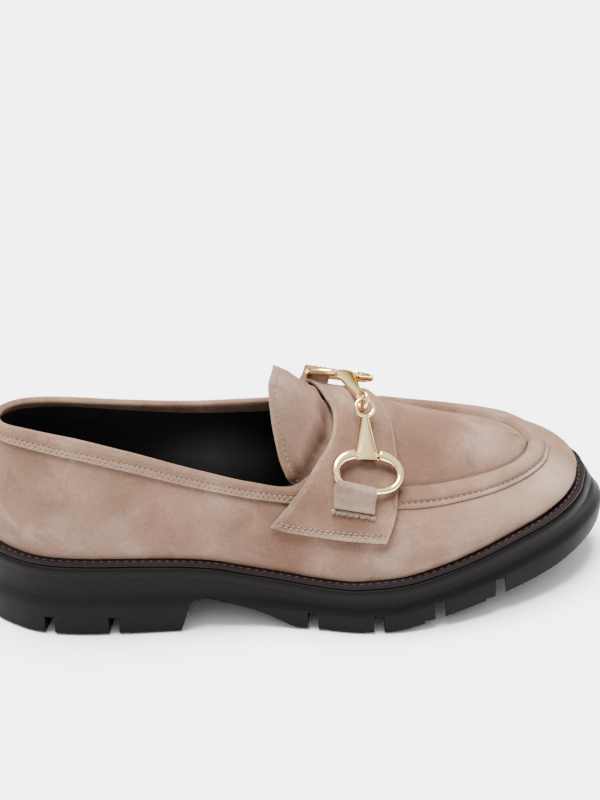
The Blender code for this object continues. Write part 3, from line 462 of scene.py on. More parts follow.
def brushed_suede(name, dark, middle, light, nap=0.22, tone_and_shade_patches=()):
    material = new_material(name)
    place = add(material, "ShaderNodeTexCoord").outputs["Object"]
    cloud = add(material, "ShaderNodeTexNoise",
                {"Scale": 1000 / CLOUD_MM, "Detail": 2.0, "Roughness": 0.45}, {"Vector": place})
    brush = add(material, "ShaderNodeTexNoise",
                {"Scale": 1000 / BRUSH_MM, "Detail": 5.0, "Roughness": 0.62, "Distortion": 0.9},
                {"Vector": place})
    fibre = add(material, "ShaderNodeTexNoise",
                {"Scale": 1000 / NAP_MM, "Detail": 2.0, "Roughness": 0.7}, {"Vector": place})
    lean = add(material, "ShaderNodeMix", {"data_type": "FLOAT", 0: 0.42},
               {2: cloud.outputs["Fac"], 3: brush.outputs["Fac"]})
    low = add(material, "ShaderNodeMapRange",
              {"interpolation_type": "SMOOTHSTEP", "From Min": 0.36, "From Max": 0.52},
              {"Value": lean.outputs[0]})
    high = add(material, "ShaderNodeMapRange",
               {"interpolation_type": "SMOOTHSTEP", "From Min": 0.50, "From Max": 0.66},
               {"Value": lean.outputs[0]})
    base = add(material, "ShaderNodeMix", {"data_type": "RGBA", 6: tint(dark), 7: tint(middle)},
               {0: low.outputs[0]})
    base = add(material, "ShaderNodeMix", {"data_type": "RGBA", 7: tint(light)},
               {0: high.outputs[0], 6: base.outputs[2]})
    # The patches carry painted light and shade along with some of the suede's own uneven tone.
    if tone_and_shade_patches:
        bend = add(material, "ShaderNodeVectorMath", {"operation": "SCALE", "Scale": 0.020},
                   {0: brush.outputs["Color"]})
        bent = add(material, "ShaderNodeVectorMath", {"operation": "ADD"}, {0: place, 1: bend.outputs[0]})
        bent = add(material, "ShaderNodeVectorMath", {"operation": "SUBTRACT", 1: (0.010, 0.010, 0.010)},
                   {0: bent.outputs[0]})
    for x, y, z, reach, code, share in tone_and_shade_patches:
        far = add(material, "ShaderNodeVectorMath", {"operation": "DISTANCE", 1: (x, y, z)},
                  {0: bent.outputs[0]})
        near = add(material, "ShaderNodeMapRange",
                   {"interpolation_type": "SMOOTHERSTEP", "From Min": 0.0, "From Max": reach,
                    "To Min": share, "To Max": 0.0}, {"Value": far.outputs["Value"]})
        base = add(material, "ShaderNodeMix", {"data_type": "RGBA", 7: tint(code)},
                   {0: near.outputs[0], 6: base.outputs[2]})
    speck = add(material, "ShaderNodeMapRange",
                {"From Min": 0.3, "From Max": 0.7, "To Min": 1 - nap * 0.7, "To Max": 1 + nap * 0.5},
                {"Value": fibre.outputs["Fac"]})
    base = add(material, "ShaderNodeVectorMath", {"operation": "SCALE"},
               {0: base.outputs[2], "Scale": speck.outputs[0]})
    wave = add(material, "ShaderNodeBump", {"Strength": 0.35, "Distance": 0.0012},
               {"Height": brush.outputs["Fac"]})
    fuzz = add(material, "ShaderNodeBump", {"Strength": 0.5, "Distance": 0.0003},
               {"Height": fibre.outputs["Fac"], "Normal": wave.outputs[0]})
    shader = add(material, "ShaderNodeBsdfPrincipled",
                 {"Roughness": 0.96, "IOR": 1.45, "Specular IOR Level": 0.12, "Sheen Weight": 0.22,
                  "Sheen Roughness": 0.5, "Sheen Tint": tint(light)},
                 {"Base Color": base.outputs[0], "Normal": fuzz.outputs[0]})
    close_material(material, shader)
    return material


# Patches of lighter and darker suede at listed places. They are partly the suede's own uneven tone and
# partly painted light and shade: darker round the bit, the tabs and the strap, lighter on top of the toe.
# columns: x, y, z and reach in metres, colour, how much of it
SUEDE_TONE_AND_SHADE = [
    (-0.1135, -0.0181, 0.0853, 0.020, "#584335", 0.6),
    (-0.0743, -0.0267, 0.0701, 0.022, "#5E4738", 0.6),
    (-0.0959, -0.0286, 0.0637, 0.018, "#826D5C", 0.3),
    (-0.0869, -0.0297, 0.0422, 0.030, "#816C5F", 0.35),
    (-0.0446, -0.0339, 0.0400, 0.024, "#7C675C", 0.3),
    (-0.0585, -0.0309, 0.0575, 0.022, "#7E5D54", 0.4),
    (-0.0086, -0.0373, 0.0408, 0.016, "#5E4437", 0.6),
    (-0.0150, 0.0330, 0.0500, 0.030, "#87776B", 0.4),
    (-0.0800, 0.0300, 0.0600, 0.028, "#5E4738", 0.5),
    (0.0519, -0.0136, 0.0650, 0.024, "#5A4133", 0.8),
    (0.0600, 0.0050, 0.0680, 0.020, "#62483A", 0.6),
    (0.0853, -0.0012, 0.0633, 0.020, "#877167", 0.6),
    (0.1117, -0.0145, 0.0489, 0.026, "#8E7D71", 0.6),
    (0.0941, -0.0338, 0.0449, 0.024, "#887467", 0.4),
    (0.0728, -0.0421, 0.0423, 0.020, "#7C6659", 0.3),
    (0.0179, -0.0463, 0.0360, 0.018, "#6A5245", 0.5),
    (0.0029, -0.0346, 0.0580, 0.016, "#5A4233", 0.6),
    (0.0187, -0.0425, 0.0512, 0.018, "#553E30", 0.7),
    (0.0214, -0.0139, 0.0810, 0.018, "#624836", 0.7),
]
suede = brushed_suede("brushed_suede", "#5F483B", "#6F5749", "#806A5E", tone_and_shade_patches=SUEDE_TONE_AND_SHADE)
rubbed = brushed_suede("rubbed_suede", "#665143", "#776252", "#867262", nap=0.35)
cut_edge = brushed_suede("suede_cut_edge", "#675344", "#7A6656", "#8C7969", nap=0.5)
# A darker suede for the crease between the apron ridge and the plug: painted shade in the crease.
crease_shade_suede = brushed_suede("suede_crease_painted_shade", "#403025", "#4C3A2E", "#5A4639")
lip_suede = brushed_suede("frayed_suede", "#7A6656", "#8F7C6C", "#A69483", nap=0.6)
tab_suede = brushed_suede("tab_suede", "#665447", "#7D6A5B", "#8D7C6D")
print("suede clouds are", CLOUD_MM, "mm across")

# %% [markdown]
# ## Thread and needle holes
# The seams are sewn with a waxed polyester thread a shade lighter than the suede. At a few
# metres one sees mostly the needle holes, because each stitch pulls the nap down into a pit,
# and the shade in the pit is painted into its colour as a dark brown. The twist of the thread
# is drawn by a fine wave along the stitch.

# %% Waxed thread, and the pit that it pulls, with its shade painted dark
def waxed_thread(name, pale, deep):
    material = new_material(name)
    place = add(material, "ShaderNodeTexCoord").outputs["Object"]
    twist = add(material, "ShaderNodeTexWave",
                {"Scale": 900.0, "Distortion": 1.5, "bands_direction": "DIAGONAL"}, {"Vector": place})
    base = add(material, "ShaderNodeMix", {"data_type": "RGBA", 6: tint(deep), 7: tint(pale)},
               {0: twist.outputs["Fac"]})
    relief = add(material, "ShaderNodeBump", {"Strength": 0.4, "Distance": 0.0001},
                 {"Height": twist.outputs["Fac"]})
    shader = add(material, "ShaderNodeBsdfPrincipled", {"Roughness": 0.62, "IOR": 1.5},
                 {"Base Color": base.outputs[2], "Normal": relief.outputs[0]})
    close_material(material, shader)
    return material


# A needle pit's dark colour is painted shade: the shade inside the hole, drawn into its colour.
def needle_pit_shade(name, deep, edge):
    material = new_material(name)
    place = add(material, "ShaderNodeTexCoord").outputs["Object"]
    grain = add(material, "ShaderNodeTexNoise", {"Scale": 1400.0, "Detail": 2.0}, {"Vector": place})
    base = add(material, "ShaderNodeMix", {"data_type": "RGBA", 6: tint(deep), 7: tint(edge)},
               {0: grain.outputs["Fac"]})
    shader = add(material, "ShaderNodeBsdfPrincipled", {"Roughness": 1.0, "IOR": 1.45},
                 {"Base Color": base.outputs[2]})
    close_material(material, shader)
    return material


suede_thread = waxed_thread("waxed_thread", "#8B7767", "#665244")
welt_thread = waxed_thread("welt_thread", "#2A1113", "#180A0B")
# Both pit colours are painted shade of the needle holes.
suede_pit_shade = needle_pit_shade("suede_needle_pit", "#1C120E", "#38271F")
welt_pit_shade = needle_pit_shade("welt_needle_pit", "#0A0505", "#140B0A")
print("thread colours set")

# %% [markdown]
# ## Rubber, welt leather and lining
# The sole is moulded from carbon-filled rubber: nearly black, faintly brown, with a dull
# surface whose gloss changes a little from place to place. The welt is a strip of dark waxed
# leather, and the lining and insole are smooth black leather, which keeps a soft broad
# highlight. Each is a base colour with a grain of its own real size.

# %% Moulded rubber
def moulded_rubber(name, deep, pale):
    material = new_material(name)
    place = add(material, "ShaderNodeTexCoord").outputs["Object"]
    blush = add(material, "ShaderNodeTexNoise", {"Scale": 45.0, "Detail": 4.0, "Roughness": 0.6},
                {"Vector": place})
    grit = add(material, "ShaderNodeTexNoise", {"Scale": 1600.0, "Detail": 2.0}, {"Vector": place})
    dust = add(material, "ShaderNodeMapRange", {"From Min": 0.70, "From Max": 0.80},
               {"Value": grit.outputs["Fac"]})
    base = add(material, "ShaderNodeMix", {"data_type": "RGBA", 6: tint(deep), 7: tint(pale)},
               {0: blush.outputs["Fac"]})
    base = add(material, "ShaderNodeMix", {"data_type": "RGBA", 7: tint("#3A3635")},
               {0: dust.outputs[0], 6: base.outputs[2]})
    rough = add(material, "ShaderNodeMapRange", {"To Min": 0.42, "To Max": 0.60},
                {"Value": blush.outputs["Fac"]})
    relief = add(material, "ShaderNodeBump", {"Strength": 0.12, "Distance": 0.0002},
                 {"Height": grit.outputs["Fac"]})
    shader = add(material, "ShaderNodeBsdfPrincipled", {"IOR": 1.52, "Specular IOR Level": 0.05},
                 {"Base Color": base.outputs[2], "Roughness": rough.outputs[0],
                  "Normal": relief.outputs[0]})
    close_material(material, shader)
    return material


rubber = moulded_rubber("moulded_black_rubber", "#0C0A0A", "#141111")
print("rubber set")

# %% Smooth leathers: welt, lining and insole
GRAIN_MM = 1.1


def smooth_leather(name, deep, pale, rough, relief_strength, shine):
    material = new_material(name)
    place = add(material, "ShaderNodeTexCoord").outputs["Object"]
    cells = add(material, "ShaderNodeTexVoronoi", {"feature": "DISTANCE_TO_EDGE", "Scale": 1000 / GRAIN_MM},
                {"Vector": place})
    pores = add(material, "ShaderNodeMapRange", {"From Max": 0.12}, {"Value": cells.outputs["Distance"]})
    tone = add(material, "ShaderNodeTexNoise", {"Scale": 60.0, "Detail": 3.0}, {"Vector": place})
    base = add(material, "ShaderNodeMix", {"data_type": "RGBA", 6: tint(deep), 7: tint(pale)},
               {0: tone.outputs["Fac"]})
    gloss = add(material, "ShaderNodeMapRange", {"To Min": rough - 0.06, "To Max": rough + 0.08},
                {"Value": tone.outputs["Fac"]})
    relief = add(material, "ShaderNodeBump", {"Strength": relief_strength, "Distance": 0.0002},
                 {"Height": pores.outputs[0]})
    shader = add(material, "ShaderNodeBsdfPrincipled", {"IOR": 1.5, "Specular IOR Level": shine},
                 {"Base Color": base.outputs[2], "Roughness": gloss.outputs[0],
                  "Normal": relief.outputs[0]})
    close_material(material, shader)
    return material


welt_leather = smooth_leather("waxed_welt_leather", "#0D0605", "#170C0A", 0.58, 0.35, 0.12)
lining = smooth_leather("black_lining_leather", "#0A0909", "#121111", 0.55, 0.12, 0.35)
insole_leather = smooth_leather("black_insole_leather", "#171615", "#232221", 0.50, 0.15, 0.35)
print("leather pores are", GRAIN_MM, "mm apart")

# %% [markdown]
# ## Plated metal
# The bit is cast zinc, tumbled smooth and plated a pale champagne gold. A metal's colour is
# in its reflections, so the base is bright and the roughness low. Tumbling leaves faint
# waves and very fine scratches: they break up the mirror just enough to read as cast.

# %% Gold plated metal
def plated_gold(name):
    material = new_material(name)
    place = add(material, "ShaderNodeTexCoord").outputs["Object"]
    cast = add(material, "ShaderNodeTexNoise", {"Scale": 260.0, "Detail": 2.0}, {"Vector": place})
    wear = add(material, "ShaderNodeTexNoise", {"Scale": 1800.0, "Detail": 3.0}, {"Vector": place})
    base = add(material, "ShaderNodeMix", {"data_type": "RGBA", 6: tint("#F0CB88"), 7: tint("#FFE6B6")},
               {0: cast.outputs["Fac"]})
    gloss = add(material, "ShaderNodeMapRange", {"To Min": 0.06, "To Max": 0.16},
                {"Value": wear.outputs["Fac"]})
    relief = add(material, "ShaderNodeBump", {"Strength": 0.08, "Distance": 0.0003},
                 {"Height": cast.outputs["Fac"]})
    shader = add(material, "ShaderNodeBsdfPrincipled", {"Metallic": 1.0, "Specular Tint": tint("#A8742E")},
                 {"Base Color": base.outputs[2], "Roughness": gloss.outputs[0],
                  "Normal": relief.outputs[0]})
    close_material(material, shader)
    return material


gold = plated_gold("plated_gold")
print("materials:", len(bpy.data.materials))

# %% [markdown]
# ## Making a piece
# Every piece is a mesh in the same frame as the solids. It rides on the one body and stands
# for its solid. A mark for each face picks which of the piece's finishes it takes, such as
# suede outside and lining inside.

# %% One function makes every piece
WELD = 0.000005


def solid_object(name, points, faces, finishes=(), marks=None, weld=None):
    """An object in the frame's axes, with its faces turned outwards."""
    mesh = bpy.data.meshes.new(name)
    mesh.from_pydata([tuple(p) for p in np.asarray(points) - ORIGIN], [], faces)
    for finish in finishes:
        mesh.materials.append(finish)
    if marks is not None:
        mesh.polygons.foreach_set("material_index", np.asarray(marks, np.int32))
    bm = bmesh.new()
    bm.from_mesh(mesh)
    if weld:
        bmesh.ops.remove_doubles(bm, verts=bm.verts, dist=weld)
    bmesh.ops.recalc_face_normals(bm, faces=bm.faces)
    bm.to_mesh(mesh)
    bm.free()
    made = bpy.data.objects.new(name, mesh)
    bpy.context.scene.collection.objects.link(made)
    return made


def make_piece(name, points, faces, finishes, slot, stands_for, marks=None, sharp=None):
    piece = solid_object(name, points, faces, finishes, marks, WELD)
    piece.data.shade_smooth()
    if sharp:
        piece.data.set_sharp_from_angle(angle=math.radians(sharp))
    if stands_for is not None:
        finish_piece(piece, stands_for)
    return piece


def finish_piece(piece, stands_for):
    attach(piece, "root")
    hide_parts(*stands_for)
    print(piece.name, len(piece.data.polygons), "faces")

# %% [markdown]
# ## The outsole
# The outsole is one moulding: a rim that carries the welt, a hollow below it, a lower wall
# that breaks into lugs, an arch behind the ball and a sloped heel front. It could be carved
# from a block, but the mould was made from the outline, so rings of the outline are stacked
# with small insets, and grooves and arch are then cut out with exact Booleans.

# %% Outsole
SOLE_STEPS = 150
GROOVE_START, GROOVE_DROP, RELIEF_PAST = 0.006, 0.004, 0.0025
# columns: share of the wall's height, extra height in metres, inset in metres, share of toe lean
SOLE_WALL = [
    (0.00, 0.0000, 0.0016, 0.13),
    (0.00, 0.0005, 0.0006, 0.10),
    (0.00, 0.0014, 0.0000, 0.08),
    (0.20, 0.0000, 0.0000, 0.02),
    (0.38, 0.0000, 0.0000, 0.00),
    (0.44, 0.0000, 0.0003, 0.01),
    (0.52, 0.0000, 0.0014, 0.05),
    (0.60, 0.0000, WALL_HOLLOW, 0.12),
    (0.70, 0.0000, WALL_HOLLOW, 0.30),
    (1.00, -RIM_BAND - 0.0012, WALL_HOLLOW, 0.55),
    (1.00, -RIM_BAND - 0.0006, WALL_HOLLOW * 0.6, 0.60),
    (1.00, -RIM_BAND, 0.0002, 0.65),
    (1.00, -RIM_BAND * 0.5, 0.0000, 0.85),
    (1.00, -0.0011, 0.0001, 0.93),
    (1.00, -0.0004, 0.0005, 0.97),
    (1.00, 0.0000, 0.0012, 1.00),
]


def cut_away(piece, tool):
    modifier = piece.modifiers.new("cut", "BOOLEAN")
    modifier.solver = "EXACT"
    modifier.operation = "DIFFERENCE"
    modifier.object = tool
    graph = bpy.context.evaluated_depsgraph_get()
    done = bpy.data.meshes.new_from_object(piece.evaluated_get(graph))
    piece.modifiers.remove(modifier)
    old = piece.data
    piece.data = done
    bpy.data.meshes.remove(old)
    bpy.data.objects.remove(tool)


def finer_line(values, times):
    """A cubic curve through rows of values, with so many steps between two neighbours."""
    values = np.asarray(values, float)
    padded = np.concatenate([2 * values[:1] - values[1:2], values, 2 * values[-1:] - values[-2:-1]])
    rows = []
    for i in range(len(values) - 1):
        a, b, c, d = padded[i : i + 4]
        for s in np.arange(times) / times:
            rows.append(0.5 * (2 * b + (c - a) * s + (2 * a - 5 * b + 4 * c - d) * s**2
                               + (3 * b - a - 3 * c + d) * s**3))
    rows.append(values[-1])
    return np.stack(rows)


def finer(values, times):
    """The same both ways across a grid."""
    return finer_line(finer_line(values, times).swapaxes(0, 1), times).swapaxes(0, 1)


def slanted_bar(start, end, width, floor_drop, tops, past=0.0):
    """Cutter along the tread from start to past the end, with its own top at each end."""
    start, end = np.asarray(start), np.asarray(end)
    along = (end - start) / np.linalg.norm(end - start)
    end = end + along * past
    across = np.array([-along[1], along[0]]) * width / 2
    points = []
    for end_point, top in ((start, tops[0]), (end, tops[1])):
        ground = float(tread_height(end_point[0]))
        for z in (ground - floor_drop, ground + top):
            points.append((*(end_point + across), z))
            points.append((*(end_point - across), z))
    faces = [(0, 1, 3, 2), (4, 6, 7, 5), (0, 4, 5, 1), (2, 3, 7, 6), (1, 5, 7, 3), (0, 2, 6, 4)]
    return solid_object("groove", points, faces)


def groove_ends(edge_place, end_place, end_reach, side):
    turn = turn_of(edge_place)
    edge = plan_points(np.array([turn]), np.array([side]))[0]
    start = edge + np.array([0.0, -GROOVE_START if side < 0.5 else GROOVE_START])
    end = np.array([end_place * SOLE_LENGTH, end_reach * BALL_WIDTH])
    return start, end


def groove_relief(start, end):
    return slanted_bar(start, end, RELIEF_WIDTH, GROOVE_DROP, (PAD_RELIEF, PAD_RELIEF), RELIEF_PAST)


def groove_slot(start, end):
    return slanted_bar(start, end, GROOVE_WIDTH, GROOVE_DROP, (NOTCH_HEIGHT, LUG_DEPTH))


def arch_cutter():
    reaches = [-0.80, *np.linspace(-0.10, 0.34, 12), 0.80]
    points = []
    side = np.concatenate([ARCH_SIDE[:2], finer_line(ARCH_SIDE[2:9], 6), ARCH_SIDE[9:]])
    for reach in reaches:
        shift = float(smooth(HEEL_FRONT, reach))
        for place, height in side:
            x = place + shift * float(1 - ease(0.34, 0.45, place))
            points.append((x * SOLE_LENGTH, reach * BALL_WIDTH, height * HEEL_HEIGHT))
    return solid_object("arch", points, tube_faces(len(reaches), len(side)))


def build_outsole():
    base = plan_ring(SOLE_STEPS)
    low = tread_height(base[:, 0])
    high = rim_height(rim_ring(SOLE_STEPS, 0.0008)[:, 0])
    span = high - low
    rings = []
    for share, drop, inset, lean in SOLE_WALL:
        rings.append(lifted(plan_ring(SOLE_STEPS, inset, lean), low + span * share + drop))
    points, faces = ring_mesh(rings)
    sole = make_piece("rubber_outsole", points, faces, [rubber], "sole_rubber", None)
    cut_away(sole, arch_cutter())
    for cut in (groove_relief, groove_slot):
        for table, side in ((OUTER_GROOVES, 0.0), (INNER_GROOVES, 1.0)):
            for row in table:
                cut_away(sole, cut(*groove_ends(*row, side)))
    sole.data.shade_smooth()
    sole.data.set_sharp_from_angle(angle=math.radians(32))
    finish_piece(sole, ["outsole"])


build_outsole()

# %% [markdown]
# ## The welt
# A welt is a strip of leather sewn round the upper, and the sole is glued and stitched to
# it. It shows as a dark ledge all the way round, with its seam in a shallow channel. It is
# built from rings like the sole, only lying flat, and its stitches are laid in the channel.

# %% Welt
WELT_STEPS = 150


def foot_inset(turns):
    """How far inside the rim the upper meets the welt."""
    return WELT_INSET + WELT_LEDGE * smooth(LEDGE_SHARE, turns)


def welt_top(x):
    return rim_height(x) + FIT_GAP + WELT_THICK


# columns: share of the open ledge, inset beyond it in metres, share of the thickness
WELT_PROFILE = [
    (1.0, 0.0090, 0.00), (0.5, 0.0050, 0.00), (0.0, 0.0030, 0.00), (0.0, 0.0004, 0.00),
    (0.0, 0.0000, 0.16), (0.0, 0.0000, 0.70), (0.0, 0.0003, 0.92), (0.0, 0.0007, 1.00),
    (0.5, -0.0006, 1.00), (0.5, -0.0003, 0.82), (0.5, 0.0003, 0.82), (0.5, 0.0006, 1.00),
    (1.0, 0.0000, 1.00), (1.0, 0.0040, 1.00), (1.0, 0.0090, 1.00),
]


def open_ledge(steps):
    return WELT_LEDGE * smooth(LEDGE_SHARE, ring_turns(steps)[0])


def build_welt():
    rings = []
    ledge = open_ledge(WELT_STEPS)
    for share, inset, rise in WELT_PROFILE:
        ring = rim_ring(WELT_STEPS, WELT_INSET + ledge * share + inset)
        rings.append(lifted(ring, rim_height(ring[:, 0]) + FIT_GAP + rise * WELT_THICK))
    points, faces = ring_mesh(rings, closed=True)
    make_piece("welt_strip", points, faces, [welt_leather], "welt_leather", ["welt"], sharp=50)


build_welt()

# %% [markdown]
# ## Seams
# A lockstitch shows as short beads of thread with a pit at each end. A texture could paint
# them, but they catch light on their own, so each is a small tube that dives into the
# leather at both ends. A seam takes a path, the way out of the surface, and the pitch.

# %% Laying stitches along a path
def even_path(points, normals, pitch):
    """Points and normals at equal steps along a polyline."""
    points, normals = np.asarray(points, float), np.asarray(normals, float)
    run = np.concatenate([[0], np.cumsum(np.linalg.norm(np.diff(points, axis=0), axis=1))])
    count = max(int(run[-1] / pitch), 2)
    at = np.linspace(0, run[-1], count + 1)
    spread = np.stack([np.interp(at, run, points[:, i]) for i in range(3)], 1)
    out = np.stack([np.interp(at, run, normals[:, i]) for i in range(3)], 1)
    return spread, out / np.linalg.norm(out, axis=1)[:, None]


def circle(sides):
    return [2 * math.pi * j / sides for j in range(sides)]


# columns: share of the bead's length, share of its radius, rise in radii
STITCH_SHAPE = [(0.00, 0.25, -0.9), (0.12, 0.85, 0.1), (0.35, 1.0, 0.65), (0.65, 1.0, 0.65),
                (0.88, 0.85, 0.1), (1.00, 0.25, -0.9)]
BEAD_SIDES, PIT_SIDES, BEAD_COVER = 6, 8, 0.74
BEAD_FACES = tube_faces(len(STITCH_SHAPE), BEAD_SIDES)


def add_stitches(bead, pit, path, out, radius, cover):
    """Adds one bead between neighbours on the path and one pit at each of them."""
    for i in range(len(path) - 1):
        start, end = path[i], path[i + 1]
        along = end - start
        length = np.linalg.norm(along)
        along /= length
        up = out[i] + out[i + 1]
        up /= np.linalg.norm(up)
        side = np.cross(up, along)
        first = len(bead[0])
        for share, thick, rise in STITCH_SHAPE:
            s = (1 - cover) / 2 + cover * share
            centre = start + along * length * s + up * radius * rise
            for a in circle(BEAD_SIDES):
                bead[0].append(centre + (side * math.cos(a) + up * math.sin(a)) * radius * thick)
        bead[1].extend(tuple(first + v for v in face) for face in BEAD_FACES)
        add_pit(pit, start, side, along, up, radius)


def add_pit(pit, centre, side, along, up, radius):
    first = len(pit[0])
    pit[0].append(centre + up * radius * 0.30)
    for wide, rise in ((1.15, 0.12), (1.2, -0.6)):
        for a in circle(PIT_SIDES):
            reach = (side * math.cos(a) * 1.15 + along * math.sin(a) * 0.8) * radius * wide
            pit[0].append(centre + reach + up * radius * rise)
    top, low = first + 1, first + 1 + PIT_SIDES
    for j in range(PIT_SIDES):
        n = (j + 1) % PIT_SIDES
        pit[1].append((first, top + j, top + n))
        pit[1].append((top + j, low + j, low + n, top + n))
    pit[1].append(tuple(low + PIT_SIDES - 1 - j for j in range(PIT_SIDES)))


def sew(name, paths, pitch, radius, thread, pit_shade_finish, slot, stands_for, cover=BEAD_COVER):
    bead, pit = ([], []), ([], [])
    for points, normals in paths:
        path, out = even_path(points, normals, pitch)
        add_stitches(bead, pit, path, out, radius, cover)
    points = bead[0] + pit[0]
    faces = bead[1] + [tuple(v + len(bead[0]) for v in face) for face in pit[1]]
    marks = [0] * len(bead[1]) + [1] * len(pit[1])
    make_piece(name, points, faces, [thread, pit_shade_finish], slot, stands_for, marks)


print("one stitch has", len(BEAD_FACES), "faces")

# %% Welt seam, 3.5 mm stitches
WELT_SEAM_STEPS = 400
WELT_PITCH, WELT_THREAD, WELT_COVER = 0.0035, 0.00042, 0.68


def welt_seam():
    ring = rim_ring(WELT_SEAM_STEPS, WELT_INSET + 0.5 * open_ledge(WELT_SEAM_STEPS))
    path = lifted(ring, welt_top(ring[:, 0]) - 0.0004)
    up = np.tile([0.0, 0.0, 1.0], (len(path), 1))
    closed = np.concatenate([path, path[:1]])
    sew("welt_seam", [(closed, np.concatenate([up, up[:1]]))], WELT_PITCH, WELT_THREAD,
        welt_thread, welt_pit_shade, "welt_leather", ["welt"], WELT_COVER)


welt_seam()

# %% [markdown]
# ## The insole
# The insole is a board covered with smooth black leather. It fills the foot of the shoe from
# wall to wall, a touch lower inside its softly rounded edge, as a foot soon presses it.

# %% Insole
INSOLE_STEPS, INSOLE_GAP = 110, 0.0004
# columns: inset in metres, drop below the top in metres
INSOLE_EDGE = [
    (0.0, INSOLE_THICK), (0.0, 0.0010), (0.0003, 0.0004), (0.0009, 0.0001), (0.0020, 0.0),
    (0.0050, 0.0002),
]


def build_insole():
    inset = foot_inset(ring_turns(INSOLE_STEPS)[0]) + UPPER_WALL + INSOLE_GAP
    rings = []
    for extra, drop in INSOLE_EDGE:
        ring = rim_ring(INSOLE_STEPS, inset + extra)
        rings.append(lifted(ring, welt_top(ring[:, 0]) + FIT_GAP + INSOLE_THICK - drop))
    points, faces = ring_mesh(rings)
    make_piece("insole_cover", points, faces, [insole_leather], "insole_leather", ["insole"])


build_insole()

# %% [markdown]
# ## The upper
# The upper is pulled over the last in one go: a vamp and quarters of suede, a raised apron
# sewn round the toe, and a binding folded over the collar. Modelling by hand would lose the
# last's curve, so every column of the mesh runs from the welt through six lines, and each
# overlay is a rise of the wall above its line. Steps, the puffed ridge, the needle channel
# and the deep crease are all written in one profile, in metres above the bare last.

# %% Columns through the six lines
def line_ring(table, turns, sides):
    """A height line of the upper: outer side columns 1 to 3, inner side 4 to 6."""
    scale = np.array([SOLE_LENGTH, BALL_WIDTH, COLLAR_HEIGHT])
    outer = np.stack([smooth(table, turns, c) for c in (1, 2, 3)], 1)
    inner = np.stack([smooth(table, turns, c) for c in (4, 5, 6)], 1)
    return np.where(sides[:, None] < 0.5, outer, inner) * scale


THROAT_TURN = 0.60
BELLY_SHARE = 0.30


def upper_lines(steps):
    """The six height lines that every column of the upper passes through."""
    turns, sides = ring_turns(steps)
    inset = foot_inset(turns)
    foot = rim_ring(steps, inset)
    foot_line = lifted(foot, welt_top(foot[:, 0]) + FIT_GAP)
    seam = line_ring(SEAM_LINE, turns, sides)
    crease = line_ring(CREASE_LINE, turns, sides)
    top = line_ring(TOP_LINE, turns, sides)
    mirror = mirror_columns(len(turns))
    joined = (turns >= THROAT_TURN - 1e-9)[:, None]
    top = np.where(joined, (top + top[mirror]) / 2, top)
    belly_plan = rim_ring(steps, inset - BELLY_SWELL)
    belly = lifted(belly_plan, foot_line[:, 2] + BELLY_SHARE * (seam[:, 2] - foot_line[:, 2]))
    outward = foot - rim_ring(steps, inset + 0.001)
    outward /= np.linalg.norm(outward, axis=1)[:, None]
    middle = (belly + seam) / 2
    middle[:, :2] += outward * (SIDE_BULGE * smooth(SIDE_SWELL, turns))[:, None]
    return turns, sides, [foot_line, belly, middle, seam, crease, top]


def column_curves(lines, turns, places):
    """Points of every column at the row places, 0 at the foot line and 5 at the top."""
    lines = np.stack(lines)
    count = lines.shape[1]
    mirror = mirror_columns(count)
    joined = (turns >= THROAT_TURN - 1e-9)[:, None]
    beyond = np.where(joined, lines[4][mirror], 2 * lines[5] - lines[4])
    below = 2 * lines[0] - lines[1]
    full = np.concatenate([below[None], lines, beyond[None]])
    gaps = np.maximum(np.linalg.norm(np.diff(full, axis=0), axis=2), 1e-6) ** 0.5
    rows = []
    for place in places:
        i = min(int(place), 4)
        s = place - i
        p0, p1, p2, p3 = full[i], full[i + 1], full[i + 2], full[i + 3]
        g0, g1, g2 = gaps[i][:, None], gaps[i + 1][:, None], gaps[i + 2][:, None]
        m1 = (p1 - p0) / g0 - (p2 - p0) / (g0 + g1) + (p2 - p1) / g1
        m2 = (p2 - p1) / g1 - (p3 - p1) / (g1 + g2) + (p3 - p2) / g2
        rows.append(cubic(s, g1, p1, m1, p2, m2))
    return np.stack(rows)


def grid_normals(grid, turns):
    around = np.roll(grid, -1, 1) - np.roll(grid, 1, 1)
    upward = np.empty_like(grid)
    upward[1:-1] = grid[2:] - grid[:-2]
    upward[0] = grid[1] - grid[0]
    upward[-1] = grid[-1] - grid[-2]
    normals = np.cross(around, upward)
    size = np.linalg.norm(normals, axis=2)[:, :, None]
    normals = normals / np.maximum(size, 1e-12)
    count = grid.shape[1]
    mirror = mirror_columns(count)
    joined = turns >= THROAT_TURN - 1e-9
    crown = normals[-2] + normals[-2][mirror]
    crown /= np.linalg.norm(crown, axis=1)[:, None]
    normals[-1][joined] = crown[joined]
    return normals


def wall_normals(grid, turns):
    """Outward directions. The lowest row is kept level, so that the wall meets the welt."""
    normals = grid_normals(grid, turns)
    normals[0, :, 2] = 0
    normals[0] /= np.linalg.norm(normals[0], axis=1)[:, None]
    return normals


print("the throat opens behind turn", THROAT_TURN)

# %% Relief of the wall, in metres above the bare last
EDGE_RISE = 0.0011
CHANNEL = 0.00045
CREASE_DEPTH = 0.0009
BINDING_ENDS, APRON_STARTS = (0.488, 0.512), (0.572, 0.606)


def bump_at(x, centre, width):
    return np.exp(-(((x - centre) / width) ** 2))


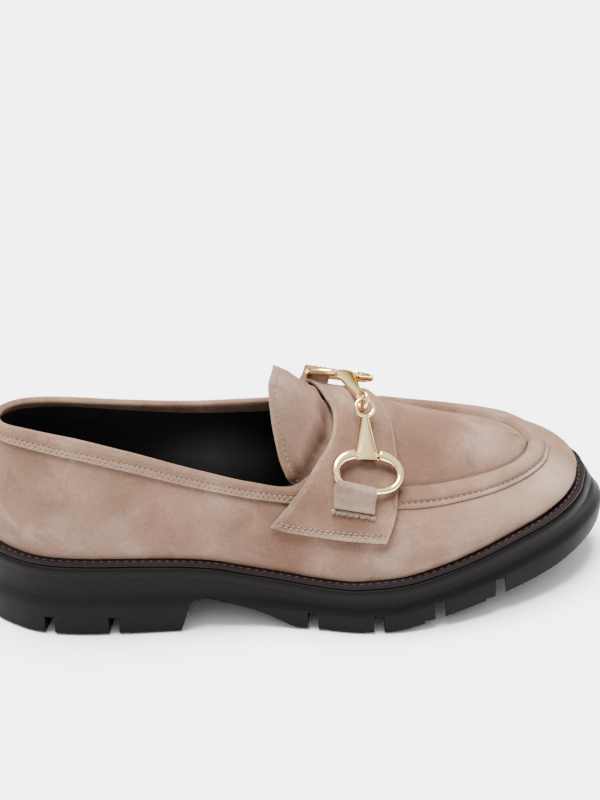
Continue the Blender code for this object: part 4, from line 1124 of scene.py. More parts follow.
def apron_rise(place):
    """Profile of the apron from its cut edge at 3 to the crease at 4 and on to the crown."""
    s = place - 3
    if s <= 0.004:
        return 0.0
    if s <= 1.0:
        puff = max(0.0, math.sin(math.pi * min(max((s - 0.20) / 0.80, 0), 1))) ** 0.60
        fall = 1 - float(ease(0.90, 1.0, s))
        rise = EDGE_RISE * fall * (0.8 + 0.2 * float(ease(0.01, 0.03, s))) + RIDGE_RISE * puff
        rise -= CHANNEL * float(bump_at(s, 0.20, 0.05))
        return rise - CREASE_DEPTH * float(bump_at(s, 1.0, 0.03))
    return -CREASE_DEPTH * float(bump_at(s, 1.0, 0.05)) + 0.0006 * float(ease(1.02, 1.25, s))


def binding_rise(place):
    """Profile of the collar binding: a cut edge, two needle channels and a rolled top."""
    s = place - 3
    if s <= 0.004:
        return 0.0
    roll = 0.0018 * max(0.0, 1 - math.sqrt(max(0.0, 1 - ((s - 1.62) / 0.38) ** 2))) if s > 1.62 else 0
    channels = bump_at(s, 0.22, 0.07) + bump_at(s, 0.62, 0.08)
    return COLLAR_BAND + 0.0002 - 0.0003 * float(channels) + 0.0003 * float(bump_at(s, 1.2, 0.3)) - roll


# columns: turn, side (0 outer, 1 inner), row place, reach in turns, reach in rows, depth in metres
SOFT_DENTS = [
    (0.10, 0, 1.7, 0.05, 0.8, -0.0007), (0.22, 0, 1.9, 0.06, 0.7, 0.0006),
    (0.33, 0, 1.6, 0.05, 0.9, -0.0007), (0.43, 0, 2.0, 0.04, 0.8, 0.0005),
    (0.56, 0, 1.6, 0.03, 1.0, -0.0006), (0.64, 0, 1.8, 0.04, 0.9, 0.0005),
    (0.72, 0, 1.2, 0.04, 0.8, -0.0005), (0.12, 1, 1.8, 0.05, 0.8, 0.0006),
    (0.24, 1, 1.7, 0.06, 0.8, -0.0007), (0.38, 1, 1.9, 0.05, 0.8, -0.0006),
    (0.55, 1, 1.6, 0.04, 0.9, -0.0006), (0.68, 1, 1.7, 0.05, 0.9, 0.0005),
    (0.66, 0, 4.5, 0.03, 0.22, -0.0007), (0.72, 0, 4.45, 0.03, 0.22, 0.0005),
    (0.70, 1, 4.45, 0.04, 0.22, -0.0006), (0.80, 0, 4.5, 0.04, 0.22, -0.0005),
]


def soft_dents(place, turns, sides):
    """Shallow troughs and ridges, at listed places, where suede relaxes off the last."""
    total = np.zeros(len(turns))
    for turn, side, row, wide, tall, depth in SOFT_DENTS:
        near = np.abs(sides - side) < 0.5
        total += near * depth * bump_at(turns, turn, wide) * math.exp(-(((place - row) / tall) ** 2))
    return total


def outer_rise(place, turns, sides):
    back = 1 - ease(*BINDING_ENDS, turns)
    front = ease(*APRON_STARTS, turns)
    rise = soft_dents(place, turns, sides)
    if place > 3:
        rise = rise + back * binding_rise(place) + front * apron_rise(place)
    return rise


print("highest ridge of the apron:", round(1000 * max(map(apron_rise, np.linspace(3, 4, 101))), 2), "mm")

# %% Build the upper: suede outside, lining inside, cut edges between
UPPER_STEPS = 170
CUT_PLACE, STRIP_PLACE, CREASE_SHADE_PLACE, LINING_PLACE = 3, 3.52, 3.985, 4.005
BACK_TURN = 0.53
OUTER_PLACES = np.unique(np.concatenate([
    np.linspace(0, 3, 25), [3.004, 3.012], np.linspace(3.02, 3.34, 17), np.linspace(3.38, 3.88, 14),
    np.linspace(3.90, 4.12, 19), np.linspace(4.16, 4.60, 10), np.linspace(4.64, 5.0, 14)]))
INNER_PLACES = np.array([0, 0.5, 1, 1.5, 2, 2.5, 3, 3.5, 3.96, 4.00, 4.02, 4.1, 4.3, 4.5, 4.65, 4.8,
                         4.9, 4.96, 5.0])


def inner_depth(place, turns):
    """How far inside the bare last the inner face lies. The binding is folded in by 5 mm."""
    back = 1 - ease(*BINDING_ENDS, turns)
    fold = 0.0007 if place > 4.01 else 0.0
    roll = 0.0016 * (1 - math.sqrt(max(0.0, 1 - ((place - 4.65) / 0.35) ** 2))) if place > 4.65 else 0
    return UPPER_WALL + back * (fold - roll)


def build_upper():
    turns, sides, lines = upper_lines(UPPER_STEPS)
    grid = column_curves(lines, turns, OUTER_PLACES)
    normals = wall_normals(grid, turns)
    rise = np.stack([outer_rise(p, turns, sides) for p in OUTER_PLACES])
    crown = turns >= THROAT_TURN - 1e-9
    rise[-1] = np.where(crown, (rise[-1] + rise[-1][mirror_columns(len(turns))]) / 2, rise[-1])
    outer = grid + normals * rise[:, :, None]
    bare = column_curves(lines, turns, INNER_PLACES)
    bare_normals = wall_normals(bare, turns)
    depth = np.stack([inner_depth(p, turns) for p in INNER_PLACES])
    inner = bare - bare_normals * depth[:, :, None]
    rows, count = outer.shape[:2]
    points = np.concatenate([outer.reshape(-1, 3), inner.reshape(-1, 3)])
    faces = sheet_faces(rows, count, closed=True)
    edge_row = int(np.argmax(OUTER_PLACES > CUT_PLACE)) - 1
    strip_row = int(np.argmin(np.abs(OUTER_PLACES - STRIP_PLACE)))
    back = turns < BACK_TURN
    marks = [0] * len(faces)
    for i in range(edge_row * count, strip_row * count):
        if i // count < edge_row + 3:
            marks[i] = 1
        elif back[i % count]:
            marks[i] = 3
    # The two rows at the crease between the apron ridge and the plug take the darker suede: painted shade
    # in the crease.
    crease_shade_row = int(np.argmax(OUTER_PLACES > CREASE_SHADE_PLACE))
    for i in range(crease_shade_row * count, (crease_shade_row + 2) * count):
        if turns[i % count] > THROAT_TURN + 0.01:
            marks[i] = 4
    start = rows * count
    lining_faces = sheet_faces(len(INNER_PLACES), count, closed=True, start=start)
    for i, face in enumerate(lining_faces):
        folded = INNER_PLACES[i // count] > LINING_PLACE and back[i % count]
        faces.append(face[::-1])
        marks.append(0 if folded else 2)
    top_out, top_in = (rows - 1) * count, start + (len(INNER_PLACES) - 1) * count
    for k in range(count):
        n = (k + 1) % count
        faces.append((k, start + k, start + n, n))
        marks.append(0)
        if not (crown[k] and crown[n]):
            faces.append((top_out + k, top_out + n, top_in + n, top_in + k))
            marks.append(0)
    piece = make_piece("suede_upper", points, faces, [suede, cut_edge, lining, rubbed, crease_shade_suede],
                       "suede", ["upper"], marks, 48)
    return piece, turns, sides, outer, normals


upper_piece, turns, sides, outer_grid, outer_normals = build_upper()

# %% [markdown]
# ## Apron and collar seams
# The apron is sewn down 2.5 mm inside its cut edge, and the binding has a double row. The
# path of a seam is a row of the upper's own grid, so it stays in its channel.

# %% Sew the apron and the binding
def grid_path(row_place, low_turn, high_turn, front):
    """Points and normals along one row of the upper, over the heel or round the toe."""
    row = int(np.argmin(np.abs(OUTER_PLACES - row_place)))
    count = len(turns)
    order = np.arange(count) if front else np.roll(np.arange(count), count // 2)
    wanted = [k for k in order if low_turn <= turns[k] <= high_turn]
    return outer_grid[row][wanted], outer_normals[row][wanted]


# row places, and the turns where the seams start or end
APRON_ROW, APRON_FROM, BINDING_ROWS, BINDING_TO = 3.20, 0.585, (3.22, 3.62), 0.52
APRON_PITCH, APRON_THREAD = 0.0028, 0.00030
BINDING_PITCH, BINDING_THREAD = 0.0023, 0.00026

sew("apron_seam", [grid_path(APRON_ROW, APRON_FROM, 1.0, True)], APRON_PITCH, APRON_THREAD,
    suede_thread, suede_pit_shade, "suede", ["upper"])
sew("collar_seam", [grid_path(row, 0.0, BINDING_TO, False) for row in BINDING_ROWS],
    BINDING_PITCH, BINDING_THREAD, suede_thread, suede_pit_shade, "suede", ["upper"])

# %% [markdown]
# ## Seats on the instep
# The tongue, the strap and the bit all lie on what is below them. Their places are given as
# a place along the foot and an angle round its axis, and a ray from outside finds the
# surface there. That keeps a strap lying on the real curve instead of floating over it.

# %% Rays from and to the axis of the foot
AXIS_REACH = -0.015
AXIS_HEIGHT = 0.468
RAY_LENGTH = 0.2


def axis_point(place):
    return np.array([place * SOLE_LENGTH, AXIS_REACH * BALL_WIDTH, AXIS_HEIGHT * COLLAR_HEIGHT])


def ray_way(angle):
    a = math.radians(angle)
    return np.array([0.0, -math.sin(a), math.cos(a)])


def outer_reach(trees, place, angle):
    """Distance from the foot axis to the outermost surface, or None."""
    way = ray_way(angle)
    far = axis_point(place) - ORIGIN + way * RAY_LENGTH
    best = None
    for tree in trees:
        hit = tree.ray_cast(Vector(far), Vector(-way), RAY_LENGTH)
        if hit[0] is not None:
            reach = RAY_LENGTH - hit[3]
            best = reach if best is None else max(best, reach)
    return best


def inner_reach(tree, place, angle):
    way = ray_way(angle)
    hit = tree.ray_cast(Vector(axis_point(place) - ORIGIN), Vector(way), RAY_LENGTH)
    return hit[3] if hit[0] is not None else None


def near_places(place, angle, d_place, d_angle):
    for i in (-1, -0.5, 0, 0.5, 1):
        for j in (-1, -0.5, 0, 0.5, 1):
            yield place + i * d_place, angle + j * d_angle


def tongue_reach(place, angle):
    values = [float(smooth(TONGUE_REACH, angle, c)) for c in (1, 2, 3, 4)]
    return float(np.interp(place, TONGUE_PLACES, values)) * BALL_WIDTH


def filled(reach, passes=6):
    """Lift the dips between neighbours so that the strap spans them."""
    reach = np.array(reach)
    for _ in range(passes):
        for axis in (0, 1):
            a = np.moveaxis(reach, axis, 0)
            a[1:-1] = np.maximum(a[1:-1], (a[:-2] + a[2:]) / 2)
    return reach


def upright(mesh_object):
    return BVHTree.FromObject(mesh_object, bpy.context.evaluated_depsgraph_get())


instep = outer_reach([upright(upper_piece)], 0.75, 0)
print("vamp lies", round(1000 * instep, 1), "mm from the foot axis at three quarters of the length")

# %% A leather sheet with a soft cut rim
RIM_PROFILE = [(0.00000, 1.00), (0.00016, 0.90), (0.00026, 0.70), (0.00028, 0.50), (0.00026, 0.30),
               (0.00016, 0.10)]


def border(rows, columns):
    edge = [r * columns for r in range(rows)]
    edge += [(rows - 1) * columns + c for c in range(1, columns)]
    edge += [r * columns + columns - 1 for r in range(rows - 2, -1, -1)]
    return edge + [c for c in range(columns - 2, 0, -1)]


def leather_sheet(name, under, over, finishes, slot, stands_for, worn=(0, 0, 0)):
    """A closed sheet between two grids. Its rim bulges a little and shows the raw fibres.

    worn is how many steps in from the rear, front and lower edges the nap is rubbed pale.
    """
    rows, columns = under.shape[:2]
    low, high = under.reshape(-1, 3), over.reshape(-1, 3)
    edge = border(rows, columns)
    loop_low, loop_high = low[edge], high[edge]
    along = np.roll(loop_high, -1, 0) - np.roll(loop_high, 1, 0)
    side = np.cross(along, loop_high - loop_low)
    side /= np.linalg.norm(side, axis=1)[:, None]
    if np.sum(side * (loop_high - loop_high.mean(0))) < 0:
        side = -side
    points = [high, low]
    faces, marks = [], []
    for r in range(rows - 1):
        for c in range(columns - 1):
            a, b = r * columns + c, r * columns + c + 1
            d, e = a + columns, b + columns
            faces.append((a, d, e, b))
            is_worn = c < worn[0] or c >= columns - 1 - worn[1] or min(r, rows - 2 - r) < worn[2]
            marks.append(2 if is_worn else 0)
            faces.append((len(high) + a, len(high) + b, len(high) + e, len(high) + d))
            marks.append(1)
    rings = []
    start = 2 * len(high)
    for out, share in RIM_PROFILE:
        rings.append(list(range(start, start + len(edge))))
        points.append(loop_low + (loop_high - loop_low) * share + side * out)
        start += len(edge)
    rings[0] = edge
    rings.append([len(high) + v for v in edge])
    for lower, upper_ring in zip(rings[1:], rings[:-1]):
        for i in range(len(edge)):
            n = (i + 1) % len(edge)
            faces.append((lower[i], lower[n], upper_ring[n], upper_ring[i]))
            marks.append(1)
    return make_piece(name, np.concatenate(points), faces, finishes, slot, stands_for, marks, 60)


print("a cut rim bulges by", 1000 * max(out for out, _ in RIM_PROFILE), "mm")

# %% [markdown]
# ## The tongue
# The tongue is an unlined flap of suede, stitched in under the strap, and it stands up in a
# rounded peak where the foot comes out. It is a sheet of one thickness: a coarse table of
# reaches gives its curl, it is kept under the vamp, and cubic curves fill in between.

# %% Tongue
TONGUE_FINE = 5
TONGUE_FRONT = 0.600
TONGUE_ENDS, TONGUE_SPREAD = (-58, 60), (0.014, 6.5)
TONGUE_INSET, TONGUE_PITCH, TONGUE_THREAD = 0.0030, 0.0026, 0.00028


def build_tongue(upper):
    tree = upright(upper)
    angles = np.linspace(*TONGUE_ENDS, 20)
    shares = np.linspace(0, 1, 12)
    under, ways = [], []
    for angle in angles:
        rear = float(smooth(TONGUE_EDGE, angle))
        row, way_row = [], []
        for share in shares:
            place = rear + (TONGUE_FRONT - rear) * share
            want = tongue_reach(place, angle)
            for p, a in near_places(place, angle, *TONGUE_SPREAD):
                limit = inner_reach(tree, p, a)
                if limit is not None:
                    want = min(want, limit - FIT_GAP)
            row.append(axis_point(place) + ray_way(angle) * (want - TONGUE_THICK))
            way_row.append(ray_way(angle))
        under.append(row)
        ways.append(way_row)
    under, ways = finer(under, TONGUE_FINE), finer(ways, TONGUE_FINE)
    over = under + ways * TONGUE_THICK
    sheet = leather_sheet("suede_tongue", under, over, [suede, cut_edge, rubbed], "suede", ["tongue"],
                          (1, 0, 0))
    return sheet, over, ways


tongue_piece, tongue_over, tongue_ways = build_tongue(upper_piece)


def rear_row(over, ways, inset, trim=3):
    """Path and normals along the rear edge of a sheet, measured in from the edge."""
    path, out = [], []
    for row, way in zip(over[trim : len(over) - trim], ways[trim : len(over) - trim]):
        run = np.concatenate([[0], np.cumsum(np.linalg.norm(np.diff(row, axis=0), axis=1))])
        path.append([np.interp(inset, run, row[:, i]) for i in range(3)])
        out.append([np.interp(inset, run, way[:, i]) for i in range(3)])
    return path, out


sew("tongue_seam", [rear_row(tongue_over, tongue_ways, TONGUE_INSET)], TONGUE_PITCH, TONGUE_THREAD,
    suede_thread, suede_pit_shade, "suede", ["tongue"])

# %% [markdown]
# ## The saddle strap
# The strap is a wide band over the instep. Its rear and front edges are cut raw and show a
# pale line 1.8 mm thick, and its lower ends are sewn into the vamp by two close rows. It is
# laid on the upper and the tongue, and bridges the dips between them as stiff leather does.

# %% Saddle strap
SADDLE_FINE = 5
SADDLE_ENDS = -84, 82.5
SADDLE_INSETS, SADDLE_PITCH, SADDLE_THREAD = (0.0030, 0.0043), 0.0024, 0.00026
# the rays beside each point: reach at the rear edge, what it gains further forward, and angle
SPAN_REAR, SPAN_MORE, SPAN_ANGLE = 0.0015, 0.0055, 2.8


def build_saddle(upper, tongue):
    trees = [upright(upper), upright(tongue)]
    angles = np.linspace(*SADDLE_ENDS, 31)
    shares = np.linspace(0, 1, 9)
    reach, places, slants = [], [], []
    for angle in angles:
        rear = float(smooth(SADDLE_EDGE, angle, 1))
        front = float(smooth(SADDLE_EDGE, angle, 2))
        values, place_row, slant_row = [], [], []
        for share in shares:
            place = rear + (front - rear) * share
            slant = angle + SADDLE_SLANT * math.sqrt(share) * float(ease(30, SADDLE_ENDS[1], angle))
            span = SPAN_REAR + SPAN_MORE * min(1.0, share / 0.4)
            hits = [outer_reach(trees, p, a) for p, a in near_places(place, slant, span, SPAN_ANGLE)]
            values.append(max(h for h in hits if h is not None) + FIT_GAP)
            place_row.append(place)
            slant_row.append(slant)
        reach.append(values)
        places.append(place_row)
        slants.append(slant_row)
    reach, places, slants = [finer(np.array(rows)[:, :, None], SADDLE_FINE)[:, :, 0]
                             for rows in (filled(reach), places, slants)]
    base = np.array([[axis_point(p) for p in row] for row in places])
    ways = np.array([[ray_way(a) for a in row] for row in slants])
    under = base + ways * reach[:, :, None]
    over = base + ways * (reach[:, :, None] + SADDLE_THICK)
    piece = leather_sheet("suede_saddle", under, over, [suede, cut_edge, rubbed], "suede", ["saddle"],
                          (2, 1, 2))
    return piece, over, ways


saddle_piece, saddle_over, saddle_ways = build_saddle(upper_piece, tongue_piece)


def end_rows(over, ways, insets):
    """Paths across both lower ends of the strap, at distances in from the end."""
    paths = []
    for sheet, way in ((over, ways), (over[::-1], ways[::-1])):
        run = np.cumsum(np.linalg.norm(np.diff(sheet[:, 0], axis=0), axis=1))
        for inset in insets:
            i = int(np.searchsorted(run, inset))
            paths.append((sheet[i, 1:-1], way[i, 1:-1]))
    return paths


sew("saddle_seam", end_rows(saddle_over, saddle_ways, SADDLE_INSETS), SADDLE_PITCH, SADDLE_THREAD,
    suede_thread, suede_pit_shade, "suede", ["saddle"])

# %% [markdown]
# ## The bit
# Each half is two castings joined by a short pin: an open ring whose two ends swell into a
# hinge, and a flat tapered bar with an eye at its tip. The eyes of both halves interlock over the middle of
# the instep. The ring is a tube swept along a drawn path, because its thickness changes all
# round, and the bar is a stack of domed sections. It hangs loose, and is held here as worn.

# %% Bit: seats and paths
# columns: share of half the length, share of half the height, flare
RING_PATH = [
    (0.345, 0.86, 1.0), (0.50, 0.82, 0.95), (0.70, 0.66, 0.75), (0.86, 0.38, 0.45), (0.91, 0.02, 0.20),
    (0.85, -0.36, 0.05), (0.67, -0.68, 0.0), (0.38, -0.84, 0.0), (0.0, -0.87, 0.0),
]
# columns: place and angle of the ring middle, slant of the tab
BIT_SEATS = {"outer": (0.600, 56.0, -1), "inner": (0.585, -24.5, 1)}
JOINT_SEAT = (0.603, 12.0)
RING_FACETS, RING_FINE, HINGE_SHARE = 20, 8, 0.86
SEAT_STEP, SEAT_TURN = 0.012, 5
# a point seen by no ray, half a foot of the ray grid, where rays start, and how far they reach
NO_STRAP, FOOT_HALF, RAY_START, RAY_REACH = -0.009, 0.0014, 0.03, 0.08


def seat_on(trees, place, angle):
    """Point and outward direction on the outermost surface."""
    def at(p, a):
        return axis_point(p) + ray_way(a) * outer_reach(trees, p, a)

    along = at(place + SEAT_STEP, angle) - at(place - SEAT_STEP, angle)
    across = at(place, angle + SEAT_TURN) - at(place, angle - SEAT_TURN)
    out = np.cross(across, along)
    out /= np.linalg.norm(out)
    if np.dot(out, ray_way(angle)) < 0:
        out = -out
    return at(place, angle), out


def frame_at(origin, toward, out):
    """Right-handed axes: u sideways, v towards the joint, w away from the strap."""
    v = toward - origin
    v -= out * np.dot(v, out)
    v /= np.linalg.norm(v)
    return origin, np.cross(v, out), v, out


def swept_tube(centres, sides, out, radii, heights, closed=False, facets=10):
    points = []
    for centre, side, wide, high in zip(centres, sides, radii, heights):
        for a in circle(facets):
            points.append(centre + side * wide * math.cos(a) + out * high * math.sin(a))
    return points, tube_faces(len(centres), facets, looped=closed)


def least_clearance(trees, points):
    """Smallest distance of the points above the strap, measured from the foot axis."""
    least = 1.0
    for p in points:
        place = p[0] / SOLE_LENGTH
        base = axis_point(place)
        angle = math.degrees(math.atan2(-(p[1] - base[1]), p[2] - base[2]))
        under = outer_reach(trees, place, angle)
        if under is not None:
            least = min(least, float(np.linalg.norm(p - base)) - under)
    return least


def half_layout(trees, name, joint, lift):
    """Ring axes and the ends of the bar of one half."""
    place, angle, _ = BIT_SEATS[name]
    seat, out = seat_on(trees, place, angle)
    axes = frame_at(seat + out * lift, joint, out)
    hinge = axes[0] + axes[2] * RING_HIGH / 2 * HINGE_SHARE
    way = joint - hinge
    way /= np.linalg.norm(way)
    eye = joint - way * EYE_OVERLAP / 2
    start = hinge - way * RING_FLARE * 0.9
    end = eye - way * EYE_RADIUS
    side = axes[1] - way * np.dot(axes[1], way)
    side /= np.linalg.norm(side)
    return axes, start, end, side, np.cross(side, way), eye, way


def strap_height(trees, axes, u, v):
    """Height of the strap over the ring plane round u, v, negative below the plane."""
    origin, du, dv, dw = axes
    best = NO_STRAP
    for i in (-FOOT_HALF, 0.0, FOOT_HALF):
        for j in (-FOOT_HALF, 0.0, FOOT_HALF):
            start = origin + du * (u + i) + dv * (v + j) + dw * RAY_START - ORIGIN
            for tree in trees:
                hit = tree.ray_cast(Vector(start), Vector(-dw), RAY_REACH)
                if hit[0] is not None:
                    best = max(best, RAY_START - hit[3])
    return best


print("the rings lie at", [round(seat[0] * SOLE_LENGTH * 1000) for seat in BIT_SEATS.values()],
      "mm from the heel")

# %% Bit: castings
BAR_STEPS = 26
PIN_SHARE, PIN_RADIUS = 0.36, 0.0008
BAR_SECTION = [(-1.00, -1.0), (1.00, -1.0), (1.04, -0.75), (1.04, -0.1), (0.97, 0.12), (0.80, 0.42),
               (0.55, 0.72), (0.28, 0.93), (0.0, 1.0), (-0.28, 0.93), (-0.55, 0.72), (-0.80, 0.42),
               (-0.97, 0.12), (-1.04, -0.1), (-1.04, -0.75)]


def ring_surface(axes):
    origin, u, v, w = axes
    rows = [(-a, b, c) for a, b, c in RING_PATH] + RING_PATH[-2::-1]
    path = finer_line(np.array(rows), RING_FINE)
    centres = origin + u * path[:, :1] * RING_LONG / 2 + v * path[:, 1:2] * RING_HIGH / 2
    along = np.gradient(centres, axis=0)
    along[0], along[-1] = -u, -u
    along /= np.linalg.norm(along, axis=1)[:, None]
    sides = np.cross(along, w)
    flare = np.clip(path[:, 2], 0, 1)
    radii = RING_TUBE + (RING_FLARE - RING_TUBE) * flare
    heights = RING_TUBE * (1 + 0.12 * flare)
    ends = np.array([0.55, 0.86, 0.97])
    lead = np.concatenate([ends, np.ones(len(path) - 6), ends[::-1]])
    centres[1], centres[2] = centres[0] + (centres[3] - centres[0]) * np.array([[0.08], [0.3]])
    centres[-2], centres[-3] = centres[-1] + (centres[-4] - centres[-1]) * np.array([[0.08], [0.3]])
    return swept_tube(centres, sides, w, radii * lead, heights * lead, facets=RING_FACETS)


def bar_surface(start, end, side, out):
    points = []
    for i in range(BAR_STEPS + 1):
        s = i / BAR_STEPS
        centre = start + (end - start) * s
        half = (BAR_WIDE + (BAR_NARROW - BAR_WIDE) * s) / 2
        soft = 1 - 0.25 * (1 - min(1.0, i / 2.0)) ** 2
        high = BAR_THICK / 2 * (1 + 0.30 * s) * soft
        points.extend(centre + side * a * half * (0.9 + 0.1 * soft) + out * b * high
                      for a, b in BAR_SECTION)
    return points, tube_faces(BAR_STEPS + 1, len(BAR_SECTION))


def eye_surface(centre, along, third, turns=40, facets=14):
    out = np.cross(along, third)
    sides = [along * math.cos(a) + third * math.sin(a) for a in circle(turns)]
    centres = [centre + s * EYE_RADIUS for s in sides]
    size = [EYE_TUBE] * turns
    return swept_tube(centres, sides, out, size, size, closed=True, facets=facets)


def joined(parts):
    points, faces = [], []
    for part_points, part_faces in parts:
        first = len(points)
        points.extend(part_points)
        faces.extend(tuple(first + v for v in face) for face in part_faces)
    return points, faces


def pin_surface(axes, hinge):
    """The short pin that the bar turns on, between the swollen ends of the ring."""
    reach, thick = PIN_SHARE * RING_LONG / 2, [PIN_RADIUS] * 2
    centres = [hinge - axes[1] * reach, hinge + axes[1] * reach]
    return swept_tube(centres, [axes[2]] * 2, axes[3], thick, thick, facets=12)


def build_half(trees, name, joint):
    lift = TAB_THICK + 2 * FIT_GAP + RING_TUBE
    for _ in range(4):
        axes, start, end, side, out, eye, way = half_layout(trees, name, joint, lift)
        bar = bar_surface(start, end, side, out)
        ring = ring_surface(axes)
        short = min(least_clearance(trees, bar[0][:: 7]) - 3 * FIT_GAP,
                    least_clearance(trees, ring[0][:: 7]) - FIT_GAP - TAB_THICK)
        if short >= 0:
            break
        lift -= short
    hinge = axes[0] + axes[2] * RING_HIGH / 2 * HINGE_SHARE
    third = side if name == "outer" else out
    ring = joined([ring, pin_surface(axes, hinge)])
    make_piece("gold_ring_" + name, *ring, [gold], "gold_metal", ["bit_ring_" + name], sharp=50)
    half = joined([bar, eye_surface(eye, way, third)])
    make_piece("gold_bar_" + name, *half, [gold], "gold_metal", ["bit_bar_" + name], sharp=36)
    return axes


print("a bar has", BAR_STEPS + 1, "sections of", len(BAR_SECTION), "points")

# %% [markdown]
# ## The tabs
# A tab is a short loop of the same suede, drawn a little lighter and greyer than the strap. It
# goes over the lower bar of a ring, and its ends are pushed through a slit in the strap. The
# slit shows as a pale ragged lip. The loop is a closed contour carried sideways in steps,
# kept clear of the ring and resting on the strap.

# %% Tabs and the lip of the slit
TAB_COLUMNS = 29
TAB_SHIFT, TAB_FOOT, TAB_LEAN, SLIT_PLACE = 0.0060, -0.0085, 0.20, 0.0076
# the far tab is seen from its end, so it is drawn narrower and a little to one side
FAR_SHARE, FAR_SHIFT = 0.7, 0.0012
rng = np.random.default_rng(7)
# columns: place towards the joint in metres, what it lies on, height over that in metres
TAB_CONTOUR = [
    (-0.0072, "under", 0.0), (-0.0056, "under", 0.0), (-0.0036, "under", 0.0),
    (-0.0015, "under", 0.0), (0.0010, "under", 0.0), (0.0026, "ring", -0.0012),
    (0.0034, "ring", 0.0004), (0.0026, "ring", 0.0022), (0.0008, "ring", 0.0),
    (-0.0012, "ring", 0.0), (-0.0034, "strap", 0.0040), (-0.0052, "strap", 0.0029),
    (-0.0072, "strap", 0.0024),
]


def tab_frame(name, c):
    slant = BIT_SEATS[name][2]
    far = name == "inner"
    u = slant * TAB_SHIFT + (c * FAR_SHARE + FAR_SHIFT if far else c)
    return u, TAB_FOOT + slant * TAB_LEAN * (u - slant * TAB_SHIFT)


def build_tab(trees, name, axes):
    origin, du, dv, dw = axes
    over = RING_TUBE + 2 * FIT_GAP + TAB_THICK
    columns = np.linspace(-TAB_WIDTH / 2, TAB_WIDTH / 2, TAB_COLUMNS)
    loops = []
    for c in columns:
        u, line = tab_frame(name, c)
        loop = []
        for v, mode, rise in TAB_CONTOUR:
            height = strap_height(trees, axes, u, line + v) + 1.2 * FIT_GAP
            if mode == "under":
                w = height
            elif mode == "strap":
                w = height + rise
            else:
                w = max(rise if rise else over, height + 0.0002)
            crease = 0.00016 * math.sin(c * 1900 + 1.3) + 0.00012 * math.sin(c * 3300 + v * 260)
            w += crease if mode != "under" else 0.0
            loop.append(origin + du * u + dv * (line + v) + dw * w)
        loops.append(finer_line(np.array(loop + loop[:1]), 5)[:-1])
    points = list(np.concatenate(loops))
    faces = tube_faces(len(loops), len(loops[0]))
    marks = [0] * (len(faces) - 2) + [1, 1]
    make_piece("suede_tab_" + name, points, faces, [tab_suede, cut_edge], "suede", ["tab_" + name],
               marks, 55)


def build_slit(trees, name, axes):
    """Ragged pale lip across the foot of a tab, from many short tufts of fibre."""
    origin, du, dv, dw = axes
    points, faces = [], []
    for c in np.linspace(-TAB_WIDTH / 2 - 0.0006, TAB_WIDTH / 2 + 0.0006, 70):
        u, line = tab_frame(name, c + rng.uniform(-0.0001, 0.0001))
        v = line - SLIT_PLACE
        height = strap_height(trees, axes, u, v)
        foot = origin + du * u + dv * v + dw * (height - 0.0002)
        tip = foot - dv * rng.uniform(0.0014, 0.0024) + dw * rng.uniform(0.0002, 0.0006)
        tip = tip + du * rng.uniform(-0.0003, 0.0003)
        wide = du * rng.uniform(0.00014, 0.00026)
        thick = dw * rng.uniform(0.0007, 0.0012)
        first = len(points)
        points += [foot - wide, foot + wide, foot + wide + thick, foot - wide + thick, tip - wide * 0.5,
                   tip + wide * 0.5]
        faces += [tuple(first + v for v in f) for f in
                  ((0, 1, 2, 3), (0, 4, 5, 1), (3, 2, 5, 4), (1, 5, 2), (0, 3, 4))]
    make_piece("slit_lip_" + name, points, faces, [lip_suede], "suede", ["tab_" + name])


def build_bit():
    trees = [upright(saddle_piece), upright(upper_piece)]
    point, out = seat_on(trees, *JOINT_SEAT)
    joint = point + out * (EYE_RADIUS + EYE_TUBE + 4 * FIT_GAP)
    for name in ("outer", "inner"):
        axes = build_half(trees, name, joint)
        build_tab(trees, name, axes)
        build_slit(trees, name, axes)


build_bit()

# %% [markdown]
# ## Floor, light and camera
# The shoe stands on a pale sweep under one very wide overhead light and an open sky, so that
# it has one faint contact shadow and no hard edge. The sky is dim near the horizon, so that
# the plating has something dark to reflect: under an even white light gold looks like cream
# paint.

# %% Pale floor
FLOOR_REACH = 4.0


def pale_floor():
    material = new_material("pale_paper_floor")
    place = add(material, "ShaderNodeTexCoord").outputs["Object"]
    fibre = add(material, "ShaderNodeTexNoise", {"Scale": 400.0, "Detail": 2.0}, {"Vector": place})
    base = add(material, "ShaderNodeMix", {"data_type": "RGBA", 6: tint("#F9F9F9"), 7: tint("#FCFCFC")},
               {0: fibre.outputs["Fac"]})
    shader = add(material, "ShaderNodeBsdfPrincipled", {"Roughness": 0.9},
                 {"Base Color": base.outputs[2]})
    close_material(material, shader)
    mesh = bpy.data.meshes.new("floor")
    corners = [(x * FLOOR_REACH, y * FLOOR_REACH, 0) for x, y in ((-1, -1), (1, -1), (1, 1), (-1, 1))]
    mesh.from_pydata(corners, [], [(0, 1, 2, 3)])
    mesh.materials.append(material)
    floor = bpy.data.objects.new("floor", mesh)
    bpy.context.scene.collection.objects.link(floor)
    print("floor is", 2 * FLOOR_REACH, "m wide")


pale_floor()

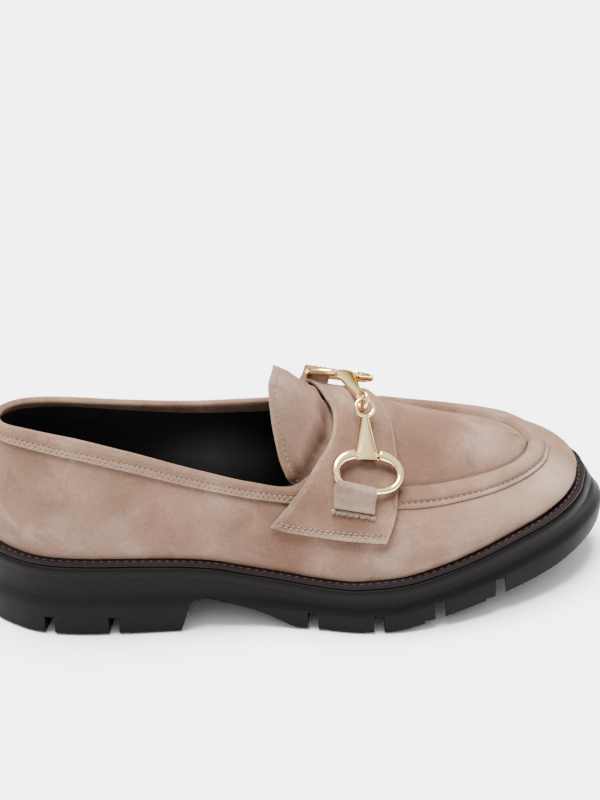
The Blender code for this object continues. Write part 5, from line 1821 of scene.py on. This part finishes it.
# %% Wide light and sky
SKY_FROM, SKY_TO, SKY_LOW, SKY_HIGH = 0.05, 0.75, 0.32, 1.6
SUN_POWER, SUN_SPREAD, SUN_WAY = 14.0, 40, (0.12, -0.10, -1.0)
world = bpy.data.worlds.new("studio")
world.use_nodes = True
sky = world.node_tree
way = sky.nodes.new("ShaderNodeTexCoord")
split = sky.nodes.new("ShaderNodeSeparateXYZ")
rise = sky.nodes.new("ShaderNodeMapRange")
for socket, value in (("From Min", SKY_FROM), ("From Max", SKY_TO),
                      ("To Min", SKY_LOW), ("To Max", SKY_HIGH)):
    rise.inputs[socket].default_value = value
sky.links.new(way.outputs["Generated"], split.inputs[0])
sky.links.new(split.outputs["Z"], rise.inputs["Value"])
sky.links.new(rise.outputs[0], sky.nodes["Background"].inputs["Strength"])
sky.nodes["Background"].inputs["Color"].default_value = (1, 1, 1, 1)
bpy.context.scene.world = world
sun = bpy.data.lights.new("wide_overhead", "SUN")
sun.energy = SUN_POWER
sun.angle = math.radians(SUN_SPREAD)
lamp = bpy.data.objects.new("wide_overhead", sun)
lamp.rotation_euler = Vector(SUN_WAY).to_track_quat("-Z", "Y").to_euler()
bpy.context.scene.collection.objects.link(lamp)
print("light spread over", SUN_SPREAD, "degrees")

# %% Camera at the photo's angle
# Measured from the photo by matching the heel, toe, collar and sole corners.
AZIMUTH, ELEVATION, ROLL = -7.0659, 30.0, -1.5719
DISTANCE, FOCAL_PIXELS, LOOK_X, LOOK_Y = 1.2, 2375.6871, 0.163248, 0.1482144
PHOTO_HEIGHT, SENSOR_MM = 800, 36.0


def place_camera():
    az, el, roll = (math.radians(v) for v in (AZIMUTH, ELEVATION, ROLL))
    back = Vector((math.sin(az) * math.cos(el), -math.cos(az) * math.cos(el), math.sin(el)))
    right = Vector((math.cos(az), math.sin(az), 0.0))
    up = back.cross(right)
    right, up = (right * math.cos(roll) + up * math.sin(roll), up * math.cos(roll) - right * math.sin(roll))
    centre = Vector((LOOK_X, LOOK_Y, 0.0)) + back * DISTANCE - Vector([float(v) for v in ORIGIN])
    data = bpy.data.cameras.new("photo_camera")
    data.sensor_fit = "VERTICAL"
    data.sensor_height = SENSOR_MM
    data.lens = FOCAL_PIXELS / PHOTO_HEIGHT * SENSOR_MM
    data.clip_end = 10.0
    camera = bpy.data.objects.new("photo_camera", data)
    camera.matrix_world = Matrix((
        (right[0], up[0], back[0], centre[0]), (right[1], up[1], back[1], centre[1]),
        (right[2], up[2], back[2], centre[2]), (0, 0, 0, 1)))
    bpy.context.scene.collection.objects.link(camera)
    bpy.context.scene.camera = camera
    print("camera lens", round(data.lens, 2), "mm")


place_camera()
